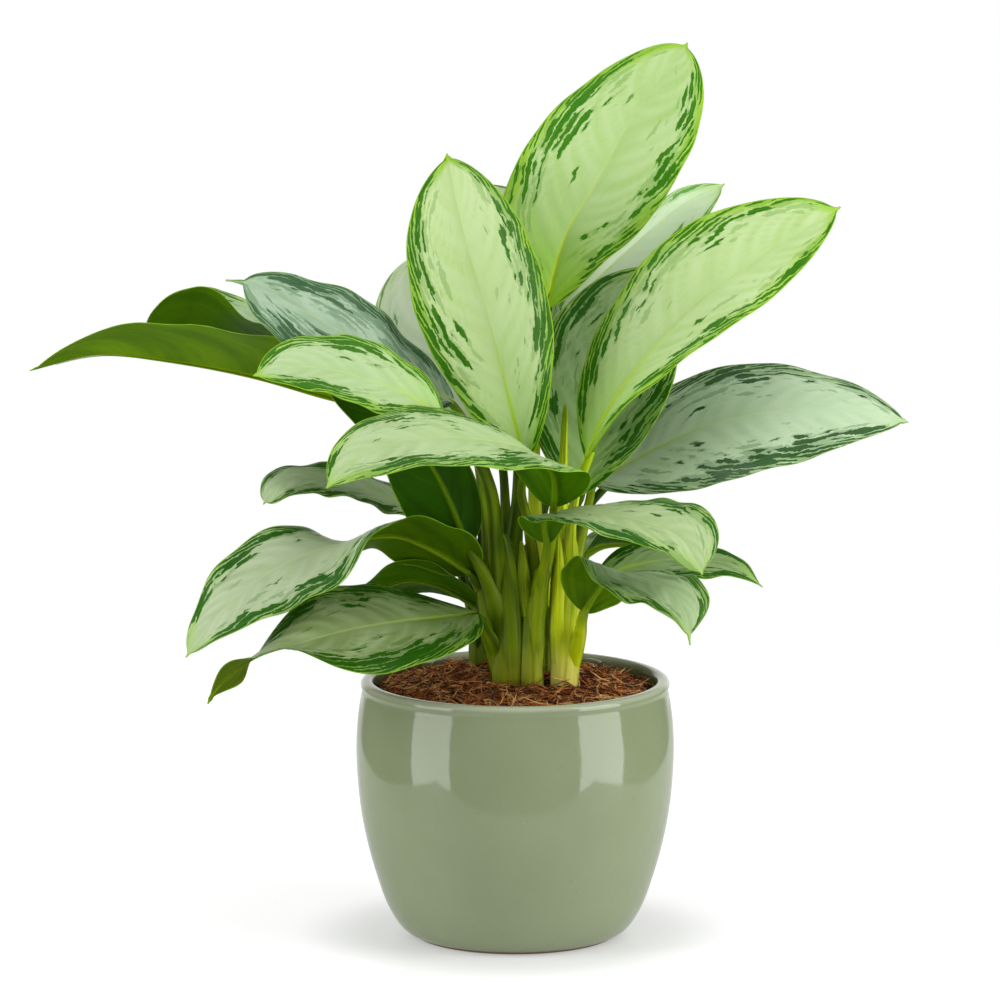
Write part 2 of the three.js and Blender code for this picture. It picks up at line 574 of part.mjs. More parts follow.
function bladeSolid(leaf, grow = 0) {
  const columns = 2 * LEAF_HALF_FACETS + 1;
  const top = [];
  const bottom = [];
  const stations = alongCurve(vectors(leaf.rib), LEAF_STEPS);
  for (const { share, point, tangent } of stations) {
    const side = new THREE.Vector3(...between(leaf.side, share, smoothStep));
    side.addScaledVector(tangent, -side.dot(tangent)).normalize();
    const up = new THREE.Vector3().crossVectors(side, tangent);
    const widest = between(leaf.half, share);
    const fold = between(leaf.fold, share, smoothStep);
    for (let column = 0; column < columns; column += 1) {
      const across = column / LEAF_HALF_FACETS - 1;
      const half = across < 0 ? 0 : 1;
      const [out, rise] = crossSection(Math.abs(across), fold[half], leaf.curl[half]);
      const width = Math.max(widest[half] * outline(share, leaf.shape, leaf.drip), LEAF_EDGE_WIDTH) + grow;
      const place = point.clone().addScaledVector(side, Math.sign(across) * out * width);
      place.addScaledVector(up, rise * width);
      place.addScaledVector(tangent, grow * (share === 1) - grow * (share === 0));
      const thickness = LEAF_THICKNESS / 2 + grow;
      top.push(place.clone().addScaledVector(up, thickness));
      bottom.push(place.clone().addScaledVector(up, -thickness));
    }
  }
  const triangles = [];
  const under = top.length;
  const quad = (a, b, c, d) => triangles.push(a, b, c, a, c, d);
  for (let row = 0; row < LEAF_STEPS; row += 1) {
    for (let column = 0; column < columns - 1; column += 1) {
      const [a, b] = [row * columns + column, row * columns + column + 1];
      const [c, d] = [b + columns, a + columns];
      quad(a, b, c, d);
      quad(under + a, under + d, under + c, under + b);
    }
    const [left, right] = [row * columns, row * columns + columns - 1];
    quad(left, left + columns, under + left + columns, under + left);
    quad(right, under + right, under + right + columns, right + columns);
  }
  const end = LEAF_STEPS * columns;
  for (let column = 0; column < columns - 1; column += 1) {
    quad(column, under + column, under + column + 1, column + 1);
    quad(end + column, end + column + 1, under + end + column + 1, under + end + column);
  }
  return toSolid(indexedGeometry([...top, ...bottom], triangles));
}

// The petiole runs from inside the shoot to the blade, and a little way along under it.
function petioleSolid(leaf, grow = 0) {
  const rib = vectors(leaf.rib);
  const intoBlade = rib[0].clone().lerp(rib[1], PETIOLE_OVERLAP);
  const stations = alongCurve([...vectors(leaf.petiole), rib[0], intoBlade], PETIOLE_STEPS);
  const radiusAt = (share) => evenly(PETIOLE_RADIUS, share);
  return tube(stations, radiusAt, PETIOLE_SIDES, SIDEWAYS, 1, grow);
}

function leafSolid(leaf, grow = 0) {
  return bladeSolid(leaf, grow).add(petioleSolid(leaf, grow));
}

// ---- Assembly

const evergreen = new THREE.Group();
evergreen.name = "potted_chinese_evergreen";

const grownShoots = SHOOTS.map((shoot) => shootSolid(shoot, GAP));
evergreen.add(toMesh(potSolid(), "pot", MATERIALS.glaze));
evergreen.add(toMesh(clearOf(soilSolid(), grownShoots), "potting_soil", MATERIALS.soil));
evergreen.add(toMesh(clearOf(coirSolid(), grownShoots), "coir_mulch", MATERIALS.coir));

// The shoots, and then the leaves, are each cut clear of the pieces before them.
const taken = [];
for (const [i, shoot] of SHOOTS.entries()) {
  evergreen.add(toMesh(clearOf(shootSolid(shoot), taken), shoot.name, MATERIALS.shoot));
  taken.push(grownShoots[i]);
}
for (const leaf of LEAVES) {
  evergreen.add(toMesh(clearOf(leafSolid(leaf), taken), leaf.name, MATERIALS.leaf));
  taken.push(leafSolid(leaf, GAP));
}

export default evergreen;
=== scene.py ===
"""The looks of a potted Chinese evergreen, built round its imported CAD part.

+Z is up and -Y the front. The camera, the studio and the materials are in metres; the plant, its pot and
the coir are in millimetres, as in the CAD source, until make_mesh turns them into metres.
"""

import math
from dataclasses import dataclass
from types import SimpleNamespace

import bpy
import numpy as np
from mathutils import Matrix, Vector


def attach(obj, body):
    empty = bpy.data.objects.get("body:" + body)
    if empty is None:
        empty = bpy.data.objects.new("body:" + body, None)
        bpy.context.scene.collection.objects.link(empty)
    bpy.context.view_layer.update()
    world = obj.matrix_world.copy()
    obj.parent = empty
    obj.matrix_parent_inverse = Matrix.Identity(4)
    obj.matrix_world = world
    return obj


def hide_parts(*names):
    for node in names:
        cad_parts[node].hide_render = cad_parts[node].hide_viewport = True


MM = 0.001

# ---- Camera and studio

CAMERA_PLACE = (-0.010, -5.0, 1.145)
CAMERA_AIM = (-0.010, 0.0, 0.291)
FIELD_WIDTH = 0.658  # what the picture spans at the aim
SENSOR_WIDTH = 36.0

TABLE_FRONT = -0.36  # its near edge, which the pot's glaze mirrors
TABLE_BACK = 1.0
TABLE_HALF_WIDTH = 0.5
TABLE_THICKNESS = 0.03
TABLE_BEVEL = 0.006

TABLE_GREY, TABLE_LIGHT = (0.62, 0.62, 0.62, 1.0), (0.64, 0.64, 0.64, 1.0)
# The table glows, though it is no lamp; seen directly, it glows less near the pot, which paints the soft
# contact shadow round the pot's foot.
TABLE_GLOW = (0.2, 0.32, 0.54)  # in reflections, and as seen directly near the pot and away from it
TABLE_SHADE = (0.09, 0.155)  # the distances from the pot's axis between which that changes
WORLD_FRONT, WORLD_BACK = 0.38, 0.72  # how bright the room is in front of the plant and behind it
WORLD_SIDE = 0.04  # and how bright its sides are in reflections
# How far back, from -1 in front to 1 behind, the light, the mirrored room and the mirrored backdrop change.
LIGHT_TURN, ROOM_TURN, BACKDROP_TURN = (0.35, 0.75), (-0.3, 0.3), (0.8, 0.95)

# Each softbox: its name, azimuth from the front, distance, height of its middle, width, height, power.
SOFTBOXES = [
    ("softbox_left", -62, 1.25, 0.62, 0.70, 1.75, 13),
    ("softbox_right", 64, 1.25, 0.62, 0.80, 1.75, 17.5),
]
TOP_SOFTBOX = (0.0, 0.0, 1.9, 2.2, 13)  # x, y, z, side and power

# ---- The plant's rows, as in the CAD source

@dataclass
class Shoot:
    name: str
    path: list  # of its middle
    radii: list  # at even shares of the path
    depth: float = 1  # over its width
    sheaths: tuple = ()  # the leaf bases wrapped round it, each with a path and radii of its own


SHOOTS = [
    Shoot("shoot_left", [[-5, -20, 125], [-6, -20, 190], [-9, -20, 225], [-12, -19, 262]], [9, 9.8, 9.5, 4],
          depth=0.75, sheaths=[
              ([[-8, -20, 165], [-15, -20, 207], [-20, -19, 235], [-26, -17, 259]], [4, 7, 6.5, 1.5]),
              ([[-1, -23, 165], [-3, -24, 207], [-5, -24, 240], [-10, -27, 274]], [5, 7.5, 7.5, 4.5]),
          ]),
    Shoot("shoot_middle", [[11, -24, 125], [11, -24, 200], [11, -23, 222], [11, -22, 240]],
          [6.3, 7, 6.8, 4], depth=0.9, sheaths=[
              ([[13, -25, 175], [14, -26, 212], [16, -31, 238], [18, -37, 253]], [4, 6, 5.5, 4.2]),
          ]),
    Shoot("shoot_right", [[30, -22, 125], [33, -22, 196], [35, -21, 230], [36, -20, 272]], [7.5, 9, 9, 4.5],
          depth=0.85, sheaths=[
              ([[28, -24, 178], [28.5, -25, 215], [29, -24, 245], [28.5, -23, 272]], [4, 6, 5, 1]),
              ([[37, -23, 170], [38, -24, 205], [38.5, -23, 226], [40, -21, 252]], [3, 6, 5.5, 2]),
          ]),
    Shoot("shoot_back_left", [[-25, 42, 125], [-25, 40, 190], [-26, 38, 242]], [5.5, 5.5, 2.5]),
    Shoot("shoot_back_right", [[21, 18, 125], [20, 18, 190], [20, 17, 252]], [6.5, 6.5, 2.5]),
    Shoot("shoot_back_middle", [[-2, 50, 125], [-2, 49, 190], [-2, 47, 252]], [6.5, 6.5, 2.5]),
    Shoot("young_shoot", [[8, -23, 218], [6, -24, 240], [4, -24, 268]], [4.5, 4.4, 0.8]),
    Shoot("new_leaf_spear", [[33, -19, 250], [31, -13, 290], [33, -13, 357]], [3.4, 3.2, 0.8]),
]


@dataclass
class Leaf:
    """A petiole that starts inside its shoot, and the blade round a midrib from base to tip.

    Each row of side, half and fold starts with its share of the midrib; one without it holds all along.
    """
    name: str
    petiole: list
    rib: list
    side: list  # the way towards the blade's right margin
    half: list  # left and right: the widest reach of each half
    fold: list  # left and right: degrees that each half rises from the midrib
    shape: tuple = (0.65, 0.7)  # the outline is share ** shape[0] * (1 - share) ** shape[1]
    curl: tuple = (12, 12)  # left and right: degrees that a half bends back down towards its margin
    drip: float = 0.015  # the share of the midrib taken up by the narrow tip


def back_leaf(name, petiole, rib, side, reach=44, fold=16):
    """A leaf that the front ones hide, with both halves alike."""
    return Leaf(name, petiole, rib, side, [reach, reach], [[0, fold, fold], [1, 8, 8]])


LEAVES = [
    Leaf("leaf_top", petiole=[[19, 16, 222], [14, 20, 262], [13, 27, 320], [16, 28, 370]],
         rib=[[20, 24, 415], [33, 32, 461], [54, 42, 497], [72, 54, 528], [97, 66, 564], [114, 74, 585]],
         side=[[0, 0.95, -0.05, -0.3], [1, 0.75, -0.5, -0.45]], half=[[0, 66, 38], [1, 38, 56]],
         fold=[[0, 12, 12], [1, 8, 8]], shape=[0.65, 0.56]),
    Leaf("leaf_front_upright", petiole=[[12, -22, 222], [12, -14, 250], [8, -17, 280], [4, -22, 302]],
         rib=[[7, -28, 320], [-3, -24, 359], [-17, -12, 413], [-34, 5, 469], [-45, 28, 517]],
         side=[[0, 0.92, -0.3, 0.25], [1, 0.9, -0.25, 0.35]], half=[[0, 40, 50], [1, 50, 48]],
         fold=[[0, 22, 22], [1, 16, 16]], shape=[0.8, 0.72], curl=[10, 10]),
    Leaf("leaf_right_upright", petiole=[[35, -20, 250], [37, -25, 285], [41, -28, 305]],
         rib=[[46, -30, 324], [63, -28, 359], [91, -22, 395], [133, -12, 434], [186, 2, 468],
              [213, 10, 484]], side=[[0, 0.45, -0.85, -0.2], [1, 0.55, -0.2, -0.8]],
         half=[[0, 50, 40], [1, 44, 28]], fold=[[0, 24, 24], [1, 16, 16]], shape=[0.75, 0.65],
         curl=[10, 10]),
    Leaf("leaf_behind_top", petiole=[[21, 19, 232], [29, 30, 262], [27, 42, 325]],
         rib=[[24, 52, 397], [50, 62, 425], [80, 78, 451], [113, 98, 475], [140, 112, 486]],
         side=[[0, 0.65, 0.35, -0.7], [1, 0.4, 0.4, -0.8]], half=[24, 34], fold=[[0, 10, 20], [1, 30, 60]],
         shape=[0.7, 0.75], curl=[0, -20]),
    Leaf("leaf_right_broad", petiole=[[36, -18, 240], [44, -6, 270], [49, 6, 290]],
         rib=[[51, 14, 300], [82, 10, 318], [125, 0, 340], [175, -12, 353], [219, -20, 355],
              [257, -25, 347]], side=[[0, 0.3, -0.55, -0.78], [1, -0.15, -0.78, -0.6]],
         half=[[0, 47, 38], [1, 42, 52]], fold=[[0, 4, 4], [1, 0, 0]], shape=[0.65, 0.75], curl=[16, 16]),
    Leaf("leaf_right_inner", petiole=[[32, -18, 232], [30, -5, 258], [36, -3, 280]],
         rib=[[43, -6, 295], [49, 2, 336], [61, 14, 382], [76, 27, 417], [94, 38, 443]],
         side=[[0, 0.97, -0.2, -0.1], [1, 0.8, -0.2, -0.55]], half=[[0, 48, 42], [1, 44, 52]],
         fold=[[0, 14, 14], [1, 10, 10]], shape=[0.8, 0.85], curl=[10, 10]),
    Leaf("leaf_left_inner", petiole=[[-12, -14, 228], [-13, 6, 270], [-20, 20, 305]],
         rib=[[-24, 30, 330], [-42, 42, 373], [-57, 56, 414], [-54, 72, 452]],
         side=[[0, 0.95, 0.15, 0.25], [1, 1, -0.1, -0.1]], half=[46, 42], fold=[10, 10], shape=[0.65, 0.85],
         curl=[10, 10]),
    Leaf("leaf_left_high", petiole=[[-14, -18, 235], [-20, -13, 290], [-29, -5, 335]],
         rib=[[-40, 0, 356], [-76, -8, 380], [-108, -14, 401], [-141, -18, 421], [-172, -18, 437],
              [-189, -14, 439]], side=[[0, 0.2, 0.8, 0.55], [1, 0.2, 0.6, 0.77]],
         half=[[0, 46, 36], [1, 49, 28]], fold=[[0, 14, 10], [1, 20, 10]], shape=[0.7, 0.65], curl=[10, 14],
         drip=0.07),
    Leaf("leaf_left_back", petiole=[[-25, 38, 210], [-38, 48, 270], [-62, 58, 328]],
         rib=[[-105, 64, 367], [-145, 62, 381], [-182, 58, 390], [-212, 53, 393], [-233, 48, 390],
              [-248, 44, 383]], side=[0, 1, 0], half=[[0, 42, 40], [1, 46, 42]],
         fold=[[0, 34, 44], [0.5, 36, 48], [0.76, 66, 48], [1, 70, 48]], shape=[2, 0.9], curl=[20, 20]),
    Leaf("leaf_left_long", petiole=[[-18, -14, 230], [-27, -2, 258], [-36, 10, 300], [-54, 18, 330]],
         rib=[[-79, 20, 348], [-122, 12, 358], [-173, 5, 373], [-223, -5, 384], [-272, -15, 390],
              [-317, -25, 381]], side=[0, 1, 0], half=[[0, 54, 46], [1, 50, 46]], fold=[46, 8],
         shape=[0.65, 0.82], curl=[10, 10]),
    Leaf("leaf_left_near", petiole=[[-11, -22, 230], [-13, -38, 275], [-16, -46, 305], [-28, -48, 332]],
         rib=[[-46, -46, 347], [-65, -54, 367], [-96, -63, 381], [-137, -74, 391], [-169, -86, 387]],
         side=[[0, 0.1, 0.85, 0.5], [1, -0.3, 0.75, 0.6]], half=[[0, 28, 34], [1, 32, 38]],
         fold=[[0, 10, 10], [1, 8, 8]], shape=[0.6, 0.75]),
    Leaf("leaf_front_folded", petiole=[[13, -24, 228], [20, -26, 250], [25, -31, 276]],
         rib=[[25, -40, 293], [25, -50, 317], [9, -70, 335], [-16, -92, 345], [-49, -115, 351],
              [-80, -133, 350], [-106, -145, 340], [-121, -150, 324]],
         side=[[0, -1, 0.1, 0], [0.3, -0.6, 0.75, 0.3], [1, -0.6, 0.75, 0.35]],
         half=[[0, 42, 46], [1, 48, 46]], fold=[8, 8], shape=[0.6, 0.7], curl=[14, 14]),
    Leaf("leaf_left_curled", petiole=[[-25, 38, 195], [-38, 24, 245], [-49, 14, 268]],
         rib=[[-59, 10, 278], [-82, 5, 291], [-112, -5, 303], [-138, -15, 308], [-155, -24, 304],
              [-165, -28, 293]], side=[[0, 0, 0.95, 0.32], [1, -0.5, 0.82, 0.2]],
         half=[[0, 24, 40], [1, 26, 24]], fold=[4, 4], shape=[0.6, 0.45]),
    Leaf("leaf_left_twisted", petiole=[[-13, -15, 214], [-21, -16, 234]],
         rib=[[-28, -26, 247], [-56, -45, 267], [-78, -55, 277], [-104, -66, 276], [-133, -80, 270],
              [-159, -90, 259], [-183, -98, 242], [-201, -103, 223], [-213, -106, 206]],
         side=[[0, -0.3, 0.6, -0.7], [0.33, -0.1, 0.85, -0.5], [0.6, -0.4, 0.6, 0.7], [1, -0.6, 0.65, 0.4]],
         half=[[0, 40, 28], [1, 32, 36]], fold=[4, 4], shape=[0.45, 0.6], curl=[10, 10]),
    Leaf("leaf_left_lowest", petiole=[[-11, -17, 188], [-18, -29, 207]],
         rib=[[-25, -42, 223], [-49, -62, 224], [-75, -82, 225], [-107, -100, 223], [-139, -115, 217],
              [-163, -125, 212], [-180, -130, 202], [-194, -133, 188], [-198, -134, 181]],
         side=[[0, -0.5, 0.8, 0.3], [0.5, -0.4, 0.7, 0.6], [0.78, 0, 1, -0.1], [0.92, 0.3, 0.4, -0.9],
               [1, 0.3, 0.4, -0.9]], half=[[0, 46, 42], [1, 34, 38]], fold=[[0, 6, 6], [1, 8, 8]],
         shape=[0.6, 0.95], curl=[14, 14]),
    Leaf("leaf_left_under", petiole=[[-9, -18, 195], [-18, -6, 211]],
         rib=[[-26, 0, 222], [-50, -5, 235], [-73, -10, 239], [-99, -18, 229], [-125, -25, 209],
              [-141, -30, 198]], side=[0, 0.88, -0.48], half=[34, 34], fold=[[0, 10, 10], [1, 8, 8]],
         shape=[0.6, 0.8], curl=[14, 14]),
    Leaf("leaf_right_near", petiole=[[13, -26, 222], [18, -38, 250]],
         rib=[[21, -46, 270], [19, -54, 288], [32, -68, 295], [55, -88, 297], [80, -108, 296],
              [106, -124, 287], [120, -132, 265]],
         side=[[0, -0.95, 0.2, -0.1], [0.35, -0.6, -0.75, -0.1], [1, -0.7, -0.5, -0.4]],
         half=[[0, 26, 30], [1, 50, 26]], fold=[4, 4], shape=[0.6, 0.62]),
    Leaf("leaf_right_low", petiole=[[35, -21, 180], [42, -34, 205]],
         rib=[[45, -50, 225], [54, -52, 240], [65, -60, 253], [84, -80, 253], [101, -94, 247],
              [110, -102, 233], [113, -106, 214]],
         side=[[0, -0.8, 0, 0.6], [0.3, -0.8, -0.4, 0.3], [0.5, -0.6, -0.8, -0.1], [1, -0.6, -0.8, -0.3]],
         half=[[0, 16, 38], [1, 48, 36]], fold=[4, 4], shape=[0.5, 0.7], drip=0.05),
    Leaf("leaf_right_tail", petiole=[[36, -20, 212], [45, -14, 230]],
         rib=[[54, -10, 241], [88, -20, 253], [121, -28, 256], [144, -32, 252], [162, -34, 239]],
         side=[[0, 0, -0.8, -0.6], [1, -0.25, -0.93, -0.2]], half=[[0, 26, 30], [1, 24, 28]], fold=[8, 8],
         shape=[0.5, 0.8], curl=[14, 14]),
    Leaf("leaf_right_under", petiole=[[36, -20, 222], [42, -6, 240]],
         rib=[[46, 3, 255], [59, 15, 258], [86, 35, 254], [116, 50, 245]], side=[0, -1, 0], half=[28, 28],
         fold=[[0, 10, 50], [1, 8, 50]], shape=[0.6, 0.8], curl=[14, 14]),
    Leaf("leaf_left_cupped", petiole=[[-8, -19, 206], [-18, -29, 242]],
         rib=[[-32, -38, 268], [-43, -46, 298], [-52, -52, 318], [-68, -56, 342], [-92, -56, 360],
              [-122, -54, 371]], side=[[0, -0.9, -0.15, -0.4], [1, -0.4, -0.2, -0.9]],
         half=[[0, 22, 32], [1, 22, 28]], fold=[8, 8], shape=[0.4, 0.75]),
    back_leaf("leaf_back_left", petiole=[[-26, 38, 226], [-21, 54, 262], [-32, 64, 298]],
              rib=[[-46, 72, 318], [-80, 102, 345], [-112, 140, 362], [-136, 180, 360], [-150, 212, 346]],
              side=[[0, 0.65, 0.6, -0.1], [1, 0.7, 0.6, -0.1]]),
    back_leaf("leaf_back_middle", petiole=[[-2, 48, 220], [-6, 58, 270], [-8, 68, 300]],
              rib=[[-12, 80, 322], [-20, 112, 352], [-27, 152, 370], [-32, 192, 368], [-35, 226, 350]],
              side=[1, 0.15, 0]),
    back_leaf("leaf_back_tall", petiole=[[-2, 46, 235], [2, 46, 290], [2, 52, 340]],
              rib=[[1, 60, 366], [-4, 78, 408], [-10, 100, 445], [-16, 124, 470], [-22, 150, 482]],
              side=[[0, 1, 0.1, 0.1], [1, 1, 0.2, 0.1]], reach=42, fold=14),
    back_leaf("leaf_back_right", petiole=[[-1, 49, 220], [14, 60, 258], [28, 72, 303]],
              rib=[[40, 84, 326], [58, 116, 356], [74, 152, 371], [86, 188, 365], [94, 217, 348]],
              side=[[0, 0.8, -0.5, 0], [1, 0.85, -0.5, 0]]),
    back_leaf("leaf_back_side", petiole=[[20, 17, 212], [32, 34, 246], [48, 44, 278]],
              rib=[[62, 50, 296], [92, 82, 318], [126, 116, 332], [160, 146, 330], [186, 168, 316]],
              side=[0.7, -0.7, 0], reach=40),
]

CURL_PIECES = 6  # straight pieces that a half's curl is made of, as in the CAD
CURVE_DENSITY = 160  # points per span that a curve's length is measured over

# ---- How fine the meshes are, and the shapes that the CAD leaves plain

BLADE_ROWS = 110
BLADE_COLUMNS = [0, 0.02, 0.045, 0.08, 0.13, 0.2, 0.28, 0.36, 0.44, 0.52, 0.6, 0.68, 0.76, 0.83, 0.89,
                 0.94, 0.975, 1]  # across each half
BLADE_THICKNESS = 0.55
EDGE_THINNING = 0.6  # the share of its thickness that a blade loses at its margin
EDGE_WIDTH = 0.7  # half the width a blade keeps at its base and its tip
TIP_WIDTH = 0.05  # width of the narrow tip over the blade's widest
VEIN_SPACING = 15.0  # between lateral veins, along the midrib
VEIN_RISE = (31.0, 50.0)  # how far a vein runs forward on its way to the margin, straight and curving
# What makes the veins uneven: share of the spacing, millimetres a radian, weight of the half's own phase.
VEIN_SWAYS = ((0.22, 17, 9), (0.12, 6.1, 5))
QUILT_HEIGHT = 0.85  # how far the blade bulges between its lateral veins
QUILT_WIDTH = 18  # a half narrower than this bulges less
PLAIN_WAVES = (1.6, 2.3)  # how high the margin's waves are, and how many there are along it
WAVES = {"leaf_left_twisted": (4.0, 2.6), "leaf_right_low": (3.0, 2.2), "leaf_left_high": (2.6, 2.1)}
SMALL_WAVES = (0.5, 2.3)  # the height and the number of the waves between them, over theirs
RIB_GROOVE = (0.35, 1.8)  # depth and half width of the furrow over the midrib

STALK_SIDES, STALK_ROWS = 20, 90
STALK_RADII = (5.6, 3.8, 3.0, 2.7)  # in the shoot, a third and two thirds along, and under the blade
WIDE_STALKS = {  # petioles that stay broad, as sheathing leaf bases do
    "leaf_left_near": (6.2, 5.2, 4.4, 4.6), "leaf_left_cupped": (7.0, 6.4, 4.6, 2.6),
    "leaf_left_twisted": (6.8, 6.2, 5.2, 4.2),
    "leaf_left_lowest": (6.6, 5.6, 4.4, 3.4), "leaf_right_low": (4.6, 4.6, 4.0, 3.2),
}
STALK_FOOT, WIDE_STALK_FOOT = 24, 70  # how far a petiole goes on down inside its shoot
LOWEST_FOOT = 176  # but no lower than this height
STALK_FOOT_RADIUS = 1.8
STALK_GROOVE = (0.3, 0.6)  # depth of the petiole's channel over its radius, and its reach in radians
STALK_WINGS = 0.3  # how much wider than deep a petiole is at its foot
GROOVE_END = 0.8  # the share of the petiole where its channel and its wings end
ROWS_NEAR_BLADE = 9  # rows of the petiole that take on the blade's green
RIB_RADII = [[0, 2.5], [0.08, 1.5], [0.3, 0.9], [0.7, 0.5], [0.93, 0.15]]  # by share of the midrib
RIB_KNOTS = 15  # points that the midrib's tube is led through
RIB_SINK = (0.75, 0.55)  # how far the tube's middle lies under the blade: share of its radius, and mm

SHOOT_SIDES, SHOOT_ROWS = 96, 110
SHEATH_FLANGE = (0.9, 0.2)  # how far a leaf base's free edges stand out, and their reach in radians
CANE_FOLDS = [  # [angle, turn over the whole path, height] of each fold: on the cane, then on its leaf bases
    [[262, 30, 0.9], [215, -50, 0.8], [330, 60, 0.7]],
    [[250, -30, 0.8]],
    [[295, 35, 0.8]],
]
FOLD_RISE, FOLD_FALL = 0.09, 0.9  # radians over which a fold stands up, and falls back again
CANE_RIBS = ((0.12, 9, 0), (0.08, 17, 1))  # fine ribs round a cane: height, number, phase
THINNEST = 0.15  # the least radius that these leave
CANE_RISE = 0.3  # the share of a path over which folds and edges rise to their height
CANE_END = 0.93  # where a cane's end starts to round off

MAP_EDGE = 0.01  # clear space round each island of a piece's map
MAP_BLADE, MAP_UNDER = 0.43, 0.46  # width of a blade's island, and where the underside's starts
MAP_STALK = (0.905, 0.085)  # where the petiole's strip starts, and its width


# ---- Curves and rows

def smooth_step(share):
    share = np.clip(share, 0.0, 1.0)
    return share * share * (3 - 2 * share)


def bump_at(values, middle, reach):
    """1 at the middle, falling smoothly, to about a third a reach away."""
    return np.exp(-(((values - middle) / reach) ** 2))


def between(rows, shares, ease=lambda s: s):
    """The rows' numbers at each share, where each row starts with its own share or holds all along."""
    rows = np.array(rows if np.ndim(rows) > 1 else [[0, *rows], [1, *rows]], float)
    after = np.clip(np.searchsorted(rows[:, 0], shares), 1, len(rows) - 1)
    low, high = rows[after - 1], rows[after]
    part = ease((shares - low[:, 0]) / (high[:, 0] - low[:, 0]))[:, None]
    return low[:, 1:] + (high[:, 1:] - low[:, 1:]) * part


def evenly(values, shares):
    return np.interp(shares, np.linspace(0, 1, len(values)), values)


def full_turn(sides):
    return np.linspace(0, 2 * np.pi, sides, endpoint=False)


def threes(*values):
    """Three arrays of numbers, spread to one shape, as one array of threes."""
    return np.stack(np.broadcast_arrays(*values), axis=-1)


def unit(vectors):
    return vectors / np.maximum(np.linalg.norm(vectors, axis=-1, keepdims=True), 1e-9)


def dense_curve(points):
    """Many points of the centripetal Catmull-Rom curve that the CAD's curves are."""
    points = np.array(points, float)
    padded = np.concatenate([[2 * points[0] - points[1]], points, [2 * points[-1] - points[-2]]])
    found = []
    for p0, p1, p2, p3 in zip(padded, padded[1:], padded[2:], padded[3:]):
        d0, d1, d2 = (np.sqrt(np.linalg.norm(b - a)) for a, b in ((p0, p1), (p1, p2), (p2, p3)))
        start = ((p1 - p0) / d0 - (p2 - p0) / (d0 + d1) + (p2 - p1) / d1) * d1
        end = ((p2 - p1) / d1 - (p3 - p1) / (d1 + d2) + (p3 - p2) / d2) * d1
        t = np.linspace(0, 1, CURVE_DENSITY, endpoint=False)[:, None]
        cubic = 2 * p1 - 2 * p2 + start + end
        square = -3 * p1 + 3 * p2 - 2 * start - end
        found.append(p1 + start * t + square * t**2 + cubic * t**3)
    return np.concatenate([*found, points[-1:]])


def along(points, shares):
    """Places and unit tangents at shares of a curve's length, the length, and each given point's share."""
    dense = dense_curve(points)
    steps = np.linalg.norm(np.diff(dense, axis=0), axis=1)
    run = np.concatenate([[0], np.cumsum(steps)])
    slopes = unit(np.gradient(dense, axis=0))
    at = np.asarray(shares) * run[-1]
    places = np.stack([np.interp(at, run, dense[:, k]) for k in range(3)], axis=1)
    tangents = unit(np.stack([np.interp(at, run, slopes[:, k]) for k in range(3)], axis=1))
    return places, tangents, run[-1], run[::CURVE_DENSITY] / run[-1]


# ---- Mesh building

def grid_faces(rows, columns, first=0, closed=False, flip=False):
    """Quads of a grid of points; closed joins each row's end to its start."""
    across = columns if closed else columns - 1
    row, column = np.meshgrid(np.arange(rows - 1), np.arange(across), indexing="ij")
    a = first + row * columns + column
    b = first + row * columns + (column + 1) % columns
    quads = np.stack([a, b, b + columns, a + columns], axis=-1).reshape(-1, 4)
    return quads[:, ::-1] if flip else quads


def fan(ring, middle):
    """Triangles from each edge of a closed ring of points to its middle point."""
    return [[a, b, middle] for a, b in zip(ring, np.roll(ring, -1))]


def put_in_scene(name, data):
    piece = bpy.data.objects.new(name, data)
    bpy.context.scene.collection.objects.link(piece)
    return piece


def make_mesh(name, points_mm, faces, materials, face_materials=None, attributes=None, uv=None):
    """A smooth mesh object in metres, with point attributes and a map for the baked model."""
    mesh = bpy.data.meshes.new(name)
    mesh.from_pydata((np.asarray(points_mm) * MM).tolist(), [], [list(map(int, f)) for f in faces])
    for material in materials:
        mesh.materials.append(material)
    if face_materials is not None:
        mesh.polygons.foreach_set("material_index", np.asarray(face_materials, np.int32))
    mesh.polygons.foreach_set("use_smooth", np.ones(len(mesh.polygons), bool))
    for key, values in (attributes or {}).items():
        layer = mesh.attributes.new(key, "FLOAT_VECTOR", "POINT")
        layer.data.foreach_set("vector", np.asarray(values, np.float32).ravel())
    if uv is not None:
        corners = np.empty(len(mesh.loops), np.int32)
        mesh.loops.foreach_get("vertex_index", corners)
        layer = mesh.uv_layers.new(name="OFBake")
        layer.uv.foreach_set("vector", np.asarray(uv, np.float32)[corners].ravel())
    mesh.update()
    return put_in_scene(name, mesh)


def on_plant(piece, node):
    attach(piece, "root")
    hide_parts(node)
    return piece


# ---- Leaves

def outline(shares, shape, drip):
    """Half the blade's width at each share of its midrib, over its widest."""
    a, b = shape
    peak = (a / (a + b)) ** a * (b / (a + b)) ** b
    body = np.minimum(1, shares / (1 - drip))
    tip = np.where(shares > 0.5, TIP_WIDTH * np.minimum(1, (1 - shares) / drip), 0)
    return np.maximum(body**a * (1 - body) ** b / peak, tip)


def half_section(parts, fold, curl):
    """How far out and up the points at parts of a half lie, over its width."""
    out, up = 0, 0
    for i in range(CURL_PIECES):
        angle = np.radians(fold - curl * parts * (i + 0.5) / CURL_PIECES)
        out = out + np.cos(angle) * parts / CURL_PIECES
        up = up + np.sin(angle) * parts / CURL_PIECES
    return out, up


def blade_frame(leaf, shares):
    """The midrib's places, tangents, sideways and upward directions, and its length."""
    rib, tangent, length, _ = along(leaf.rib, shares)
    side = between(leaf.side, shares, smooth_step)
    side = unit(side - tangent * np.sum(side * tangent, axis=1, keepdims=True))
    return rib, tangent, side, np.cross(side, tangent), length


